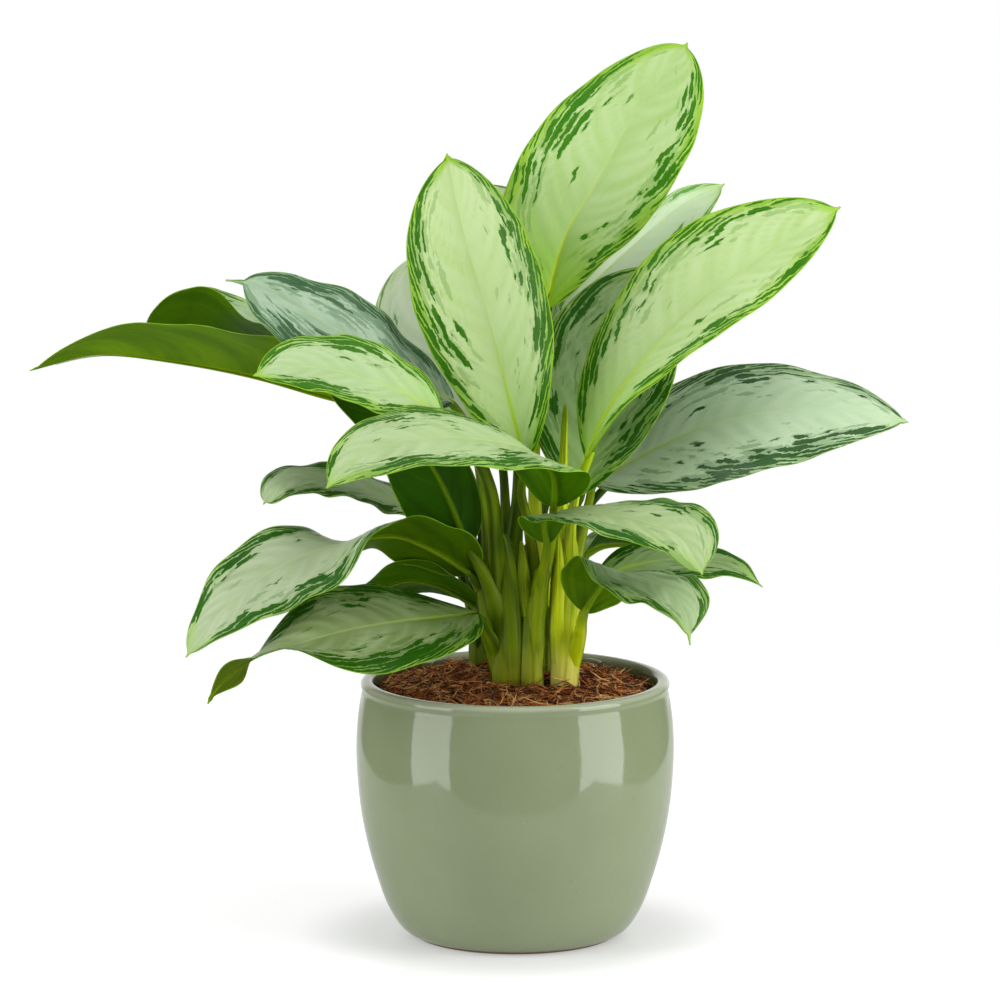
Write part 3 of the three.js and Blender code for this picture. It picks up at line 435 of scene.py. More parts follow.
def quilting(vein, parts, width, phase):
    """How the blade bulges between its veins, over QUILT_HEIGHT."""
    uneven = sum(size * np.sin(vein / wave + turns * phase) for size, wave, turns in VEIN_SWAYS)
    bulge = np.abs(np.sin(np.pi * (vein / VEIN_SPACING + phase + uneven))) ** 0.7 - 0.6
    return bulge * (4 * parts * (1 - parts)) ** 0.8 * np.minimum(1, width / QUILT_WIDTH)


def margin_waves(name, shares, parts, phase):
    """How far the waves along the margin lift each point."""
    height, count = WAVES.get(name, PLAIN_WAVES)
    ripple = np.sin(2 * np.pi * count * shares[:, None] + phase)
    small = np.sin(2 * np.pi * count * SMALL_WAVES[1] * shares[:, None] + 2 * phase)
    ripple = ripple + SMALL_WAVES[0] * small
    ends = np.minimum(1, 5 * shares * (1 - shares))[:, None]
    return height * ripple * parts**2.5 * ends


def across_blade():
    """Where the blade's columns of points lie, from -1 at its left margin to 1 at its right."""
    half = np.array(BLADE_COLUMNS)
    return np.concatenate([-half[:0:-1], half])


def blade_surface(leaf, seed):
    """A grid of points on the middle of the blade, its normals, and what its materials read."""
    turn = np.linspace(0, np.pi, BLADE_ROWS)
    shares = 0.5 * (turn / np.pi) + 0.25 * (1 - np.cos(turn))  # closer together at both ends
    rib, _, side, up, length = blade_frame(leaf, shares)
    across = across_blade()
    is_right = (across >= 0).astype(int)
    parts = np.abs(across)[None, :]
    reach = between(leaf.half, shares)
    fold = between(leaf.fold, shares, smooth_step)[:, is_right]
    width = np.maximum(reach * outline(shares, leaf.shape, leaf.drip)[:, None], EDGE_WIDTH)
    width = width[:, is_right]
    out, rise = half_section(parts, fold, np.array(leaf.curl)[is_right])
    reach_out = out * width * np.sign(across)
    vein = (shares * length)[:, None] - VEIN_RISE[0] * parts - VEIN_RISE[1] * parts**3

    chance = np.random.default_rng(seed)
    quilt = quilting(vein, parts, width, chance.uniform(0, 1, 2)[is_right])
    waves = margin_waves(leaf.name, shares, parts, chance.uniform(0, 2 * np.pi, 2)[is_right])
    groove = RIB_GROOVE[0] * (1 - 0.7 * shares)[:, None] * bump_at(np.abs(reach_out), 0, RIB_GROOVE[1])
    lift = rise * width + QUILT_HEIGHT * quilt + waves - groove
    place = rib[:, None] + side[:, None] * reach_out[..., None] + up[:, None] * lift[..., None]

    normal = unit(np.cross(np.gradient(place, axis=1), np.gradient(place, axis=0)))
    vein_map = threes(vein / 10, across[None, :], shares[:, None])
    size_map = threes(np.abs(reach_out), (1 - parts) * width, (shares * length)[:, None])
    return place, normal, vein_map, size_map, quilt


def carry_frame(tangents, first):
    """Turns a first sideways direction along a curve without twisting it."""
    found = [first]
    for tangent in tangents[1:]:
        kept = found[-1] - tangent * np.dot(found[-1], tangent)
        found.append(kept / max(np.linalg.norm(kept), 1e-9))
    return np.array(found)


def middle_of_shoot(place, drop):
    """The point in the nearest cane that lies `drop` lower than a place."""
    height = max(place[2] - drop, LOWEST_FOOT)
    middles = []
    for shoot in SHOOTS:
        path = np.array(shoot.path, float)
        if path[0, 2] < height < path[-1, 2]:
            middles.append([np.interp(height, path[:, 2], path[:, axis]) for axis in range(2)] + [height])
    middles = np.array(middles)
    return middles[np.argmin(np.linalg.norm(middles[:, :2] - place[:2], axis=1))]


def stalk_path(leaf):
    """Points from the cane up the petiole and on under the blade, radii there, and its sideways way."""
    knots = np.linspace(0, RIB_RADII[-1][0], RIB_KNOTS)
    rib, _, side, up, _ = blade_frame(leaf, knots)
    under = between(RIB_RADII, knots)[:, 0]
    sink = RIB_SINK[0] * under + RIB_SINK[1]
    petiole = np.array(leaf.petiole, float)
    foot = middle_of_shoot(petiole[0], WIDE_STALK_FOOT if leaf.name in WIDE_STALKS else STALK_FOOT)
    return np.concatenate([foot[None], petiole, rib - up * sink[:, None]]), under, side[0]


def stalk_reads(shares, length, turn, points):
    """What a stalk's material reads: centimetres along it, the share of the way round, and its height."""
    return threes((shares * length)[:, None] / 10, turn[None, :] / (2 * np.pi), points[..., 2] / 10)


def stalk_surface(leaf):
    """The petiole, and the midrib that goes on from it under the blade, as rings of points."""
    path, under, side = stalk_path(leaf)
    shares = np.linspace(0, 1, STALK_ROWS)
    place, tangent, length, knots = along(path, shares)
    first, on_blade = knots[1], knots[1 + len(leaf.petiole):]
    blade_start = on_blade[0]
    widths = WIDE_STALKS.get(leaf.name, STALK_RADII)
    on_stalk = evenly(widths, np.clip((shares - first) / (blade_start - first), 0, 1))
    on_foot = np.interp(shares, [0, first], [STALK_FOOT_RADIUS, widths[0]])
    radius = np.where(shares < first, on_foot, on_stalk)
    radius = np.where(shares < blade_start, radius, np.interp(shares, on_blade, under))
    # The sideways direction is known where the blade starts, and is carried back down the petiole.
    start = int(np.searchsorted(shares, blade_start))
    back = carry_frame(tangent[: start + 1][::-1], side)[::-1]
    sideways = np.concatenate([back[:-1], carry_frame(tangent[start:], side)])
    upward = np.cross(sideways, tangent)
    turn = full_turn(STALK_SIDES)
    channel = STALK_GROOVE[0] * (1 - smooth_step((shares - blade_start * GROOVE_END) / 0.1))
    ring = 1 - channel[:, None] * bump_at(turn[None, :], np.pi / 2, STALK_GROOVE[1])
    wings = 1 + STALK_WINGS * (1 - smooth_step(shares / (blade_start * GROOVE_END)))
    spread = sideways[:, None] * (np.cos(turn) * wings[:, None])[..., None]
    spread = spread + upward[:, None] * np.sin(turn)[:, None]
    points = place[:, None] + spread * (ring * radius[:, None])[..., None]
    return points, stalk_reads(shares, length, turn, points), start


def rim_faces(rows, columns):
    """Quads that join a blade's top to its underside all round."""
    left, base = np.arange(rows) * columns, np.arange(columns)
    edges = [(left, False), (left + columns - 1, True), (base, True), (base + (rows - 1) * columns, False)]
    rims = []
    for edge, flip in edges:
        under = edge + rows * columns
        strip = np.stack([edge[:-1], edge[1:], under[1:], under[:-1]], axis=1)
        rims.append(strip[:, ::-1] if flip else strip)
    return np.concatenate(rims)


def leaf_map(spots):
    """The map: the top beside the underside, and the petiole in a strip at the right."""
    u = (spots[:, 1] + 1) / 2
    v = MAP_EDGE + spots[:, 2] * (1 - 2 * MAP_EDGE)
    stalk_v = MAP_EDGE + (1 - 2 * MAP_EDGE) * np.repeat(np.linspace(0, 1, STALK_ROWS), STALK_SIDES)
    round_it = np.abs(np.tile(np.linspace(-1, 1, STALK_SIDES), STALK_ROWS))
    stalk_u = MAP_STALK[0] + MAP_STALK[1] * round_it
    ends = np.array([[0.95, MAP_EDGE / 2], [0.95, 1 - MAP_EDGE / 2]])
    top_u, under_u = MAP_EDGE + MAP_BLADE * u, MAP_UNDER + MAP_BLADE * u
    return np.concatenate([np.stack(pair, 1) for pair in ((top_u, v), (under_u, v), (stalk_u, stalk_v))]
                          + [ends])


def make_leaf(leaf, seed, materials):
    """Blade and petiole in one object, wearing a top, an underside and a petiole material."""
    middle, normal, vein_map, size_map, quilt = blade_surface(leaf, seed)
    rows, columns = middle.shape[:2]
    thickness = BLADE_THICKNESS / 2 * (1 - EDGE_THINNING * np.abs(across_blade())**4)
    top = middle + normal * thickness[:, None]
    bottom = middle - normal * thickness[:, None]
    stalk, stalk_map, blade_row = stalk_surface(leaf)
    count, stalk_first = rows * columns, 2 * rows * columns
    points = np.concatenate([top.reshape(-1, 3), bottom.reshape(-1, 3), stalk.reshape(-1, 3),
                             stalk[0].mean(0)[None], stalk[-1].mean(0)[None]])

    blade = [grid_faces(rows, columns), grid_faces(rows, columns, count, flip=True)]
    rims = rim_faces(rows, columns)
    tube = grid_faces(STALK_ROWS, STALK_SIDES, stalk_first, closed=True, flip=True)
    ring = stalk_first + np.arange(STALK_SIDES)
    last_ring = ring + (STALK_ROWS - 1) * STALK_SIDES
    caps = fan(ring, len(points) - 2) + fan(last_ring[::-1], len(points) - 1)
    under_blade = np.repeat(np.arange(STALK_ROWS - 1) > blade_row, STALK_SIDES)
    wears = np.concatenate([
        np.full(len(blade[0]), 0), np.full(len(blade[1]), 1), np.full(len(rims), 0),
        np.where(under_blade, 1, 2), np.full(len(caps), 2)])

    # A petiole point lies far from any margin, and its third value is how near it is to the blade.
    near_blade = smooth_step(1 + (np.arange(STALK_ROWS) - blade_row) / ROWS_NEAR_BLADE)
    stalk_size = np.tile([0.0, 20.0, 0.0], (stalk.shape[0] * stalk.shape[1] + 2, 1))
    stalk_size[:-2, 2] = np.repeat(near_blade, STALK_SIDES)
    spots, sizes = vein_map.reshape(-1, 3), size_map.reshape(-1, 3)
    # The quilting's height goes on to the top's material, which paints light where the blade bulges up and
    # shade where it sinks.
    relief = np.zeros((len(points), 3))
    relief[:stalk_first, 0] = np.tile(quilt.ravel(), 2)
    read = {
        "vein": np.concatenate([spots, spots, stalk_map.reshape(-1, 3), stalk_map[0, :1], stalk_map[-1, :1]]),
        "size": np.concatenate([sizes, sizes, stalk_size]),
        "relief": relief,
    }
    piece = make_mesh(leaf.name + "_blade", points, [*blade[0], *blade[1], *rims, *tube, *caps],
                      materials, wears, read, leaf_map(spots))
    return on_plant(piece, leaf.name)


# ---- Shoots

def sheath_surface(path, radii, depth, flange, folds):
    """One closed tube of a shoot as rings of points, and what its material reads.

    flange: how far its two free edges stand out at the sides. folds: [angle, turn, height] each.
    """
    shares = np.linspace(0, 1, SHOOT_ROWS)
    place, tangent, length, _ = along(path, shares)
    sideways = unit(np.array([1.0, 0, 0]) - tangent * tangent[:, :1])
    forward = np.cross(tangent, sideways)
    turn = full_turn(SHOOT_SIDES)
    ring = np.ones((SHOOT_ROWS, SHOOT_SIDES)) * evenly(radii, shares)[:, None]
    rise = smooth_step(shares / CANE_RISE)[:, None]
    for angle, twist, height in folds:
        edge = np.radians(angle + twist * shares)[:, None]
        past_edge = np.mod(turn[None, :] - edge, 2 * np.pi)
        fold = np.exp(-past_edge / FOLD_FALL) * smooth_step(past_edge / FOLD_RISE)
        ring = ring + height * fold * rise
    for edge in (0, np.pi, 2 * np.pi):
        ring = ring + flange * bump_at(turn[None, :], edge, SHEATH_FLANGE[1]) * rise
    ring = ring + sum(height * np.sin(number * turn + phase) for height, number, phase in CANE_RIBS)
    ring = np.maximum(ring, THINNEST)
    end = np.sqrt(np.maximum(0.02, 1 - np.maximum(0, (shares - CANE_END) / (1 - CANE_END)) ** 2))
    reach = ring * end[:, None]
    points = place[:, None] + sideways[:, None] * (np.cos(turn) * reach)[..., None]
    points = points + forward[:, None] * (np.sin(turn) * reach * depth)[..., None]
    return points, stalk_reads(shares, length, turn, points)


def make_shoot(shoot, material):
    """A cane and the leaf bases wrapped round it, all in one object."""
    tubes = [(shoot.path, shoot.radii, 0.0)]
    tubes += [(path, radii, SHEATH_FLANGE[0]) for path, radii in shoot.sheaths]
    count = SHOOT_ROWS * SHOOT_SIDES
    points, where, faces, uv = [], [], [], []
    run = np.repeat(np.linspace(0, 1, SHOOT_ROWS), SHOOT_SIDES)
    round_it = np.abs(np.tile(np.linspace(-1, 1, SHOOT_SIDES), SHOOT_ROWS))
    for i, (path, radii, flange) in enumerate(tubes):
        spots, read = sheath_surface(path, radii, shoot.depth, flange, CANE_FOLDS[i % len(CANE_FOLDS)])
        points.append(spots.reshape(-1, 3))
        where.append(read.reshape(-1, 3))
        faces += list(grid_faces(SHOOT_ROWS, SHOOT_SIDES, i * count, closed=True))
        ring = i * count + np.arange(SHOOT_SIDES)
        faces += [ring[::-1], ring + count - SHOOT_SIDES]
        left, width = i / len(tubes), 1 / len(tubes) - 2 * MAP_EDGE
        uv.append(np.stack([left + MAP_EDGE + width * round_it, MAP_EDGE + (1 - 2 * MAP_EDGE) * run], axis=1))
    piece = make_mesh(shoot.name + "_cane", np.concatenate(points), faces, [material],
                      attributes={"vein": np.concatenate(where)}, uv=np.concatenate(uv))
    return on_plant(piece, shoot.name)


# ---- Pot, root ball and coir

POT_PROFILE = [
    [66.2, 0], [67, 0.5], [75.5, 6], [84.5, 20], [91.7, 40], [97.5, 60.5], [102.5, 87], [105, 121],
    [104.3, 142], [101.9, 160], [101, 163.5], [101.4, 166], [102.1, 168.5], [100.6, 171.2], [97.5, 172],
    [94.6, 171.2], [93.4, 168.5], [93.4, 150], [94, 112], [90.5, 70], [81, 30], [70, 13], [58, 8],
]
POT_SIDES, POT_ROWS = 200, 190
POT_FLOOR = 8
INNER_RADIUS = 93.4

COIR_EDGE_HEIGHT = 163
COIR_CROWN = 8.5
COIR_LEVEL_SHARE = 0.35
COIR_LUMP = 1.1
COIR_WAVES = [[0.21, 0.17], [0.09, -0.26]]
COIR_FOOT = 149
COIR_SINK = 1.6  # how far the bed lies under the height of its strands
BED_RINGS, BED_SIDES = 46, 120
BED_GAP = 0.7  # between the bed and the pot, and how far its points stand up or down
CANES = 6  # the first of the SHOOTS, which come out of the mulch
CANE_CLEARANCE = 1.0  # round each of them, where no strand lies

FIBRES = 3900
FIBRE_POINTS, FIBRE_SIDES = 8, 3
FIBRE_SEED = 11
FIBRE_LENGTH = (9, 34)
FIBRE_THICKNESS = (0.24, 0.62)
FIBRE_BEND = 2.4  # radians, as a spread
FIBRE_WIGGLE = 1.9  # the most that a strand sways to either side of its bend
FIBRE_LIFT = 1.5  # how far up or down it lies, as a spread
FIBRE_ARCH = (-1.6, 3.0)  # how high its middle rises
FIBRES_REARING = 0.22  # the share of the strands that stand up at one end
FIBRE_REAR = (3, 8)  # and how high
FIBRE_SWAYS = 9  # radians of its sway from end to end
FIBRE_SINK = 0.5  # how far a strand would lie in the mulch without its lift and its arch
FIBRE_TAPER = 0.75  # the share of its thickness that it loses at its ends
POT_CLEARANCE = 0.9  # between the pot and the strands


def make_pot(material):
    """The pot's wall as one turned profile, closed on its axis below and inside."""
    profile = along([[r, 0, z] for r, z in POT_PROFILE], np.linspace(0, 1, POT_ROWS))[0]
    turn = full_turn(POT_SIDES)
    points = threes(profile[:, :1] * np.cos(turn), profile[:, :1] * np.sin(turn), profile[:, 2:])
    faces = list(grid_faces(POT_ROWS, POT_SIDES, closed=True))
    count = POT_ROWS * POT_SIDES
    ring = np.arange(POT_SIDES)
    faces += fan(ring[::-1], count) + fan(ring + count - POT_SIDES, count + 1)
    points = np.concatenate([points.reshape(-1, 3), [[0, 0, 0], [0, 0, POT_FLOOR]]])
    piece = make_mesh("pot_body", points, faces, [material])
    return on_plant(piece, "pot")


def coir_height(x, y):
    """How high the mulch is heaped, as in the CAD."""
    share = np.hypot(x, y) / INNER_RADIUS
    fall = smooth_step((share - COIR_LEVEL_SHARE) / (1 - COIR_LEVEL_SHARE))
    waves = sum(np.sin(x * along_x + y * along_y) for along_x, along_y in COIR_WAVES)
    return COIR_EDGE_HEIGHT + COIR_CROWN * (1 - fall) + COIR_LUMP * waves / 2


def make_coir_bed(material):
    """The dark, lumpy mass that the loose strands lie on."""
    radius = np.linspace(0.02, 1, BED_RINGS)[:, None] * (INNER_RADIUS - BED_GAP)
    turn = full_turn(BED_SIDES)
    x, y = radius * np.cos(turn), radius * np.sin(turn)
    chance = np.random.default_rng(FIBRE_SEED + 1)
    z = coir_height(x, y) - COIR_SINK + chance.uniform(-BED_GAP, BED_GAP, x.shape)
    points = np.concatenate([threes(x, y, z).reshape(-1, 3), threes(x[-1], y[-1], COIR_FOOT)])
    ring = np.arange(BED_SIDES)
    faces = list(grid_faces(BED_RINGS + 1, BED_SIDES, closed=True, flip=True))
    faces += [ring, (ring + BED_RINGS * BED_SIDES)[::-1]]
    piece = make_mesh("coir_bed", points, faces, [material])
    return on_plant(piece, "coir_mulch")


def clear_of_canes(x, y):
    """Which places lie outside every cane where it comes out of the mulch."""
    outside = np.ones(x.shape, bool)
    for shoot in SHOOTS[:CANES]:
        middle, radius = shoot.path[0], shoot.radii[1] + CANE_CLEARANCE
        reach = np.hypot((x - middle[0]) / radius, (y - middle[1]) / (radius * shoot.depth))
        outside &= reach > 1
    return outside


def fibre_middles():
    """The middle line, the thickness and the shade of each strand that lies free of pot and canes."""
    chance = np.random.default_rng(FIBRE_SEED)
    tried = FIBRES * 2
    reach = (INNER_RADIUS - 2) * np.sqrt(chance.uniform(0, 1, tried))
    place_turn = chance.uniform(0, 2 * np.pi, tried)
    length = chance.uniform(*FIBRE_LENGTH, tried)
    heading = chance.uniform(0, 2 * np.pi, tried)
    bend = chance.normal(0, FIBRE_BEND, tried)
    wiggle = chance.uniform(0, FIBRE_WIGGLE, tried)
    wiggle_phase = chance.uniform(0, 2 * np.pi, tried)
    lift = chance.normal(0, FIBRE_LIFT, tried)
    rears = chance.uniform(0, 1, tried) < FIBRES_REARING
    rise = np.where(rears, chance.uniform(*FIBRE_REAR, tried), chance.uniform(*FIBRE_ARCH, tried))
    part = np.linspace(-0.5, 0.5, FIBRE_POINTS)[None, :]
    angle = heading[:, None] + bend[:, None] * part
    step = length[:, None] / (FIBRE_POINTS - 1)
    sway = wiggle[:, None] * np.sin(FIBRE_SWAYS * part + wiggle_phase[:, None])
    x = np.cumsum(np.cos(angle) * step, axis=1)
    y = np.cumsum(np.sin(angle) * step, axis=1)
    x += (reach * np.cos(place_turn))[:, None] - x.mean(1, keepdims=True) - sway * np.sin(heading)[:, None]
    y += (reach * np.sin(place_turn))[:, None] - y.mean(1, keepdims=True) + sway * np.cos(heading)[:, None]
    arch = rise[:, None] * np.where(rears[:, None], (part + 0.5) ** 2, 1 - 4 * part**2)
    z = coir_height(x, y) - FIBRE_SINK + lift[:, None] + arch
    thickness = chance.uniform(*FIBRE_THICKNESS, tried)
    shade = chance.uniform(0, 1, tried)
    free = (np.hypot(x, y) < INNER_RADIUS - POT_CLEARANCE).all(1) & clear_of_canes(x, y).all(1)
    kept = np.flatnonzero(free)[:FIBRES]
    return threes(x, y, z)[kept], thickness[kept], shade[kept]


def fibre_map(count):
    """A square of the map for each strand."""
    rows = int(np.ceil(np.sqrt(count)))
    cell = np.stack([np.arange(count) % rows, np.arange(count) // rows], axis=1) / rows
    spot = np.stack([np.repeat(np.linspace(0.1, 0.9, FIBRE_POINTS), FIBRE_SIDES),
                     np.tile(np.linspace(0.1, 0.9, FIBRE_SIDES), FIBRE_POINTS)], axis=1) / rows
    return (cell[:, None] + spot[None]).reshape(-1, 2)


def make_fibres(material):
    """Loose strands of coir, each a thin bent tube."""
    middle, thickness, shade = fibre_middles()
    count, size = len(middle), FIBRE_POINTS * FIBRE_SIDES
    forward = unit(np.gradient(middle, axis=1))
    sideways = unit(np.cross(forward, [0, 0, 1.0]))
    upward = np.cross(sideways, forward)
    turn = full_turn(FIBRE_SIDES)
    taper = 1 - FIBRE_TAPER * np.abs(np.linspace(-1, 1, FIBRE_POINTS)) ** 3
    radius = (thickness[:, None] * taper)[..., None, None]
    ring = sideways[:, :, None] * np.cos(turn)[:, None] + upward[:, :, None] * np.sin(turn)[:, None]
    points = (middle[:, :, None] + ring * radius).reshape(-1, 3)
    first = np.arange(count)[:, None, None] * size
    tubes = grid_faces(FIBRE_POINTS, FIBRE_SIDES, closed=True)[None] + first
    end = np.arange(FIBRE_SIDES)
    ends = np.stack([end[::-1], end + size - FIBRE_SIDES])[None] + first
    faces = tubes.reshape(-1, 4).tolist() + ends.reshape(-1, FIBRE_SIDES).tolist()
    run = np.tile(np.repeat(np.arange(FIBRE_POINTS), FIBRE_SIDES), count) * 0.3
    strand = threes(np.repeat(shade, size), run, np.repeat(shade * 9, size))
    piece = make_mesh("coir_fibres", points, faces, [material], attributes={"strand": strand},
                      uv=fibre_map(count))
    return on_plant(piece, "coir_mulch")


# ---- Materials

def linear(red, green, blue):
    """An sRGB colour of 0 to 255 as the linear one that shaders take."""
    def one(value):
        value /= 255
        return value / 12.92 if value <= 0.04045 else ((value + 0.055) / 1.055) ** 2.4
    return (one(red), one(green), one(blue), 1.0)


class Graph:
    """A new material, or the world, and short ways to add nodes to it."""

    def __init__(self, name, kind="materials"):
        self.owner = getattr(bpy.data, kind).new(name)
        self.owner.use_nodes = True
        self.tree = self.owner.node_tree
        self.shader = self.tree.nodes.get("Principled BSDF")

    def put(self, socket, value):
        if isinstance(value, bpy.types.NodeSocket):
            self.tree.links.new(value, socket)
        else:
            socket.default_value = value

    def node(self, kind, inputs, **settings):
        made = self.tree.nodes.new(kind)
        for key, value in settings.items():
            setattr(made, key, value)
        for key, value in inputs.items():
            self.put(made.inputs[key], value)
        return made

    def math(self, operation, a, b=0.0):
        return self.node("ShaderNodeMath", {0: a, 1: b}, operation=operation).outputs[0]

    def times(self, a, b):
        return self.math("MULTIPLY", a, b)

    def add(self, *terms):
        total = terms[0]
        for term in terms[1:]:
            total = self.math("ADD", total, term)
        return total

    def scaled(self, value, by, middle=0.5):
        """by times how far the value is from its middle."""
        return self.times(self.math("SUBTRACT", value, middle), by)

    def vector(self, x, y, z=0.0):
        return self.node("ShaderNodeCombineXYZ", {0: x, 1: y, 2: z}).outputs[0]

    def stretched(self, x, y, z, by):
        return self.vector(self.times(x, by[0]), self.times(y, by[1]), z)

    def read(self, name):
        found = self.node("ShaderNodeAttribute", {}, attribute_name=name)
        return self.node("ShaderNodeSeparateXYZ", {0: found.outputs["Vector"]}).outputs

    def place(self):
        return self.node("ShaderNodeTexCoord", {}).outputs["Object"]

    def noise(self, vector, scale=1.0, detail=2.0, roughness=0.5):
        return self.node("ShaderNodeTexNoise", {
            "Vector": vector, "Scale": scale, "Detail": detail, "Roughness": roughness}).outputs["Fac"]

    def ramp(self, value, low, high, to=(0.0, 1.0)):
        """A smooth step from to[0] at low up to to[1] at high."""
        return self.node("ShaderNodeMapRange", {
            "Value": value, "From Min": low, "From Max": high, "To Min": to[0], "To Max": to[1]},
            interpolation_type="SMOOTHSTEP").outputs[0]

    def mix(self, share, a, b):
        return self.node("ShaderNodeMix", {0: share, 6: a, 7: b}, data_type="RGBA").outputs[2]

    def tint(self, colour, tone, value, low, high, most=1.0):
        """The colour, with up to `most` of a tone over it as the value goes from low to high."""
        return self.mix(self.ramp(value, low, high, (0.0, most)), colour, tone)

    def choose(self, share, a, b):
        """mix for plain numbers."""
        return self.node("ShaderNodeMix", {0: share, 2: a, 3: b}).outputs[0]

    def ray(self, kind):
        return self.node("ShaderNodeLightPath", {}).outputs[kind]

    def bump(self, height, distance, strength=1.0):
        made = self.node("ShaderNodeBump", {"Height": height, "Distance": distance, "Strength": strength})
        self.put(self.shader.inputs["Normal"], made.outputs[0])

    def finish(self, colour, roughness, **constants):
        self.put(self.shader.inputs["Base Color"], colour)
        self.put(self.shader.inputs["Roughness"], roughness)
        for key, value in constants.items():
            self.shader.inputs[key.replace("_", " ")].default_value = value
        return self.owner


# Light that soaks through: its weight, how far it goes in metres, and each colour's share of that.
LEAF_GLOW = (0.15, 0.0012, (1.0, 1.3, 0.25))
STALK_GLOW = (0.2, 0.002, (1.0, 1.2, 0.2))
UNDER_GLOSS, STALK_GLOSS = 0.06, 0.14


def soft_green(graph, colour, roughness, glow, gloss):
    """The finished material of something green that light soaks through."""
    weight, scale, radius = glow
    return graph.finish(colour, roughness, Subsurface_Weight=weight, Subsurface_Scale=scale,
                        Subsurface_Radius=radius, IOR=1.45, Specular_IOR_Level=gloss)


# The dark markings are flames: streaks beside the margin that run out along the blade. Each set has
# offset: where in the noise it lies, per_cm: how many streaks there are in a centimetre from the margin,
# ragged: how far their ends are drawn out, gap: how clear the gaps between them are, start: the share of
# the half where they set in, levels: how dark they want to be there and near the margin, contrast: how
# much that varies.
FLAMES = {
    "broad": {"offset": 0.0, "per_cm": 2.1, "ragged": 0.6, "gap": 0.6, "start": 0.3,
              "levels": (0.23, 0.82), "contrast": 2.1},
    "fine": {"offset": 17.0, "per_cm": 4.2, "ragged": 0.4, "gap": 1.2, "start": 0.55,
             "levels": (0.1, 0.88), "contrast": 1.8},
    "middle": {"offset": 31.0, "per_cm": 2.3, "ragged": 0.9, "gap": 0.6, "start": 0.25,
               "levels": (0.28, 0.9), "contrast": 1.8},
}
STREAK_DRIFT = 0.17  # how far a dark streak moves outwards over its length
STRIP_WIDTH = 0.13  # centimetres across one of the strips that a streak's ragged ends are made of
NEAR_MARGIN = 0.92  # the share of a half at which the flames are at their darkest
CLEAR_OF_RIB = (0.12, 0.3)  # the shares of a half between which they may set in
FLAME_EDGE = 0.015  # how soft a dark flame's outline is, as a step in its level
WASH_EDGE = 0.05  # and how soft a half-dark one's is
PENUMBRA = (-0.14, -0.02)  # levels under the dark one between which the half tone round a flame sets in
MARGIN_LINE = (0.9, 0.5)  # millimetres from the margin between which its bright line sets in
RIB_LINE = (1.9, 0.35)  # half the width of the pale midrib, at its foot and near its tip
UNDER_RIB_LINE = (2.6, 0.6)
NOISE_STEP, UNDER_NOISE_STEP = 13.7, 5.1  # from one leaf to the next, and from one half to the other
HALF_STEP = 7.3


def leaf_spot(graph, seed, step):
    """What a leaf's patterns read: each half of each leaf gets a part of the noise of its own.

    vein: where the vein through a point leaves the midrib, across: -1 at the left margin to 1 at the
    right, part: the same without its sign, share: of the midrib from base to tip, run: the same in
    millimetres, from_rib and from_margin: millimetres too, shift: the part of the noise
    """
    vein, across, share = graph.read("vein")
    from_rib, from_margin, run = graph.read("size")
    half = graph.times(graph.math("SIGN", across), HALF_STEP)
    return SimpleNamespace(
        vein=vein, across=across, share=share, from_rib=from_rib, from_margin=from_margin, run=run,
        part=graph.math("ABSOLUTE", across), shift=graph.add(half, seed * step))


def widths_from_rib(graph, spot, line):
    """How far each place lies from the midrib's middle, over half the width of its pale line."""
    return graph.math("DIVIDE", spot.from_rib, graph.ramp(spot.share, 0.0, 0.9, line))


def flame_level(graph, spot, offset, per_cm, ragged, gap, start, levels, contrast):
    """How strongly each place wants to be dark: streaks beside the margin, with ragged ends."""
    rim, length, shift = spot.rim, spot.length, spot.shift
    place = graph.add(rim, graph.scaled(spot.tremble, 0.06))
    strip = graph.math("FLOOR", graph.math("DIVIDE", place, STRIP_WIDTH))
    chance = graph.node("ShaderNodeTexWhiteNoise", {
        "Vector": graph.vector(strip, shift, offset)}).outputs["Value"]
    along_strip = graph.add(length, graph.times(chance, ragged))
    drift = graph.add(rim, graph.times(length, STREAK_DRIFT))
    phase = graph.add(graph.times(drift, per_cm), graph.scaled(spot.wobble, 2.4),
                      graph.scaled(spot.tremble, 0.9))
    stripe = graph.math("FLOOR", phase)
    from_middle = graph.math("ABSOLUTE", graph.scaled(graph.math("FRACT", phase), 2.0))
    depth = graph.add(shift, offset)
    streaks = graph.noise(graph.stretched(along_strip, stripe, depth, (0.48, 5.3)), detail=1.0)
    clusters = graph.noise(graph.stretched(along_strip, rim, depth, (0.3, 0.6)), detail=0.0)
    return graph.add(graph.ramp(spot.part, start, NEAR_MARGIN, levels), graph.scaled(streaks, contrast),
                     graph.scaled(clusters, 0.7), graph.times(graph.math("POWER", from_middle, 3.0), -gap))


def leaf_flames(graph, spot, look):
    """Where the blade is dark green, and where it has the tone between dark and silver."""
    part, edge = spot.part, look.streaks_from
    levels = {name: flame_level(graph, spot, **values) for name, values in FLAMES.items()}
    broad = graph.add(levels["broad"], graph.ramp(part, 0.8, NEAR_MARGIN, (0.0, -0.35)))
    dark_level = graph.math("MAXIMUM", broad, levels["fine"])
    inside = graph.ramp(part, *CLEAR_OF_RIB)
    dark_here = graph.times(graph.ramp(dark_level, edge, edge + FLAME_EDGE), inside)
    penumbra = graph.ramp(dark_level, edge + PENUMBRA[0], edge + PENUMBRA[1])
    middle_edge = edge - look.wash
    middle_here = graph.ramp(levels["middle"], middle_edge, middle_edge + WASH_EDGE)
    return dark_here, graph.times(graph.math("MAXIMUM", middle_here, penumbra), inside)


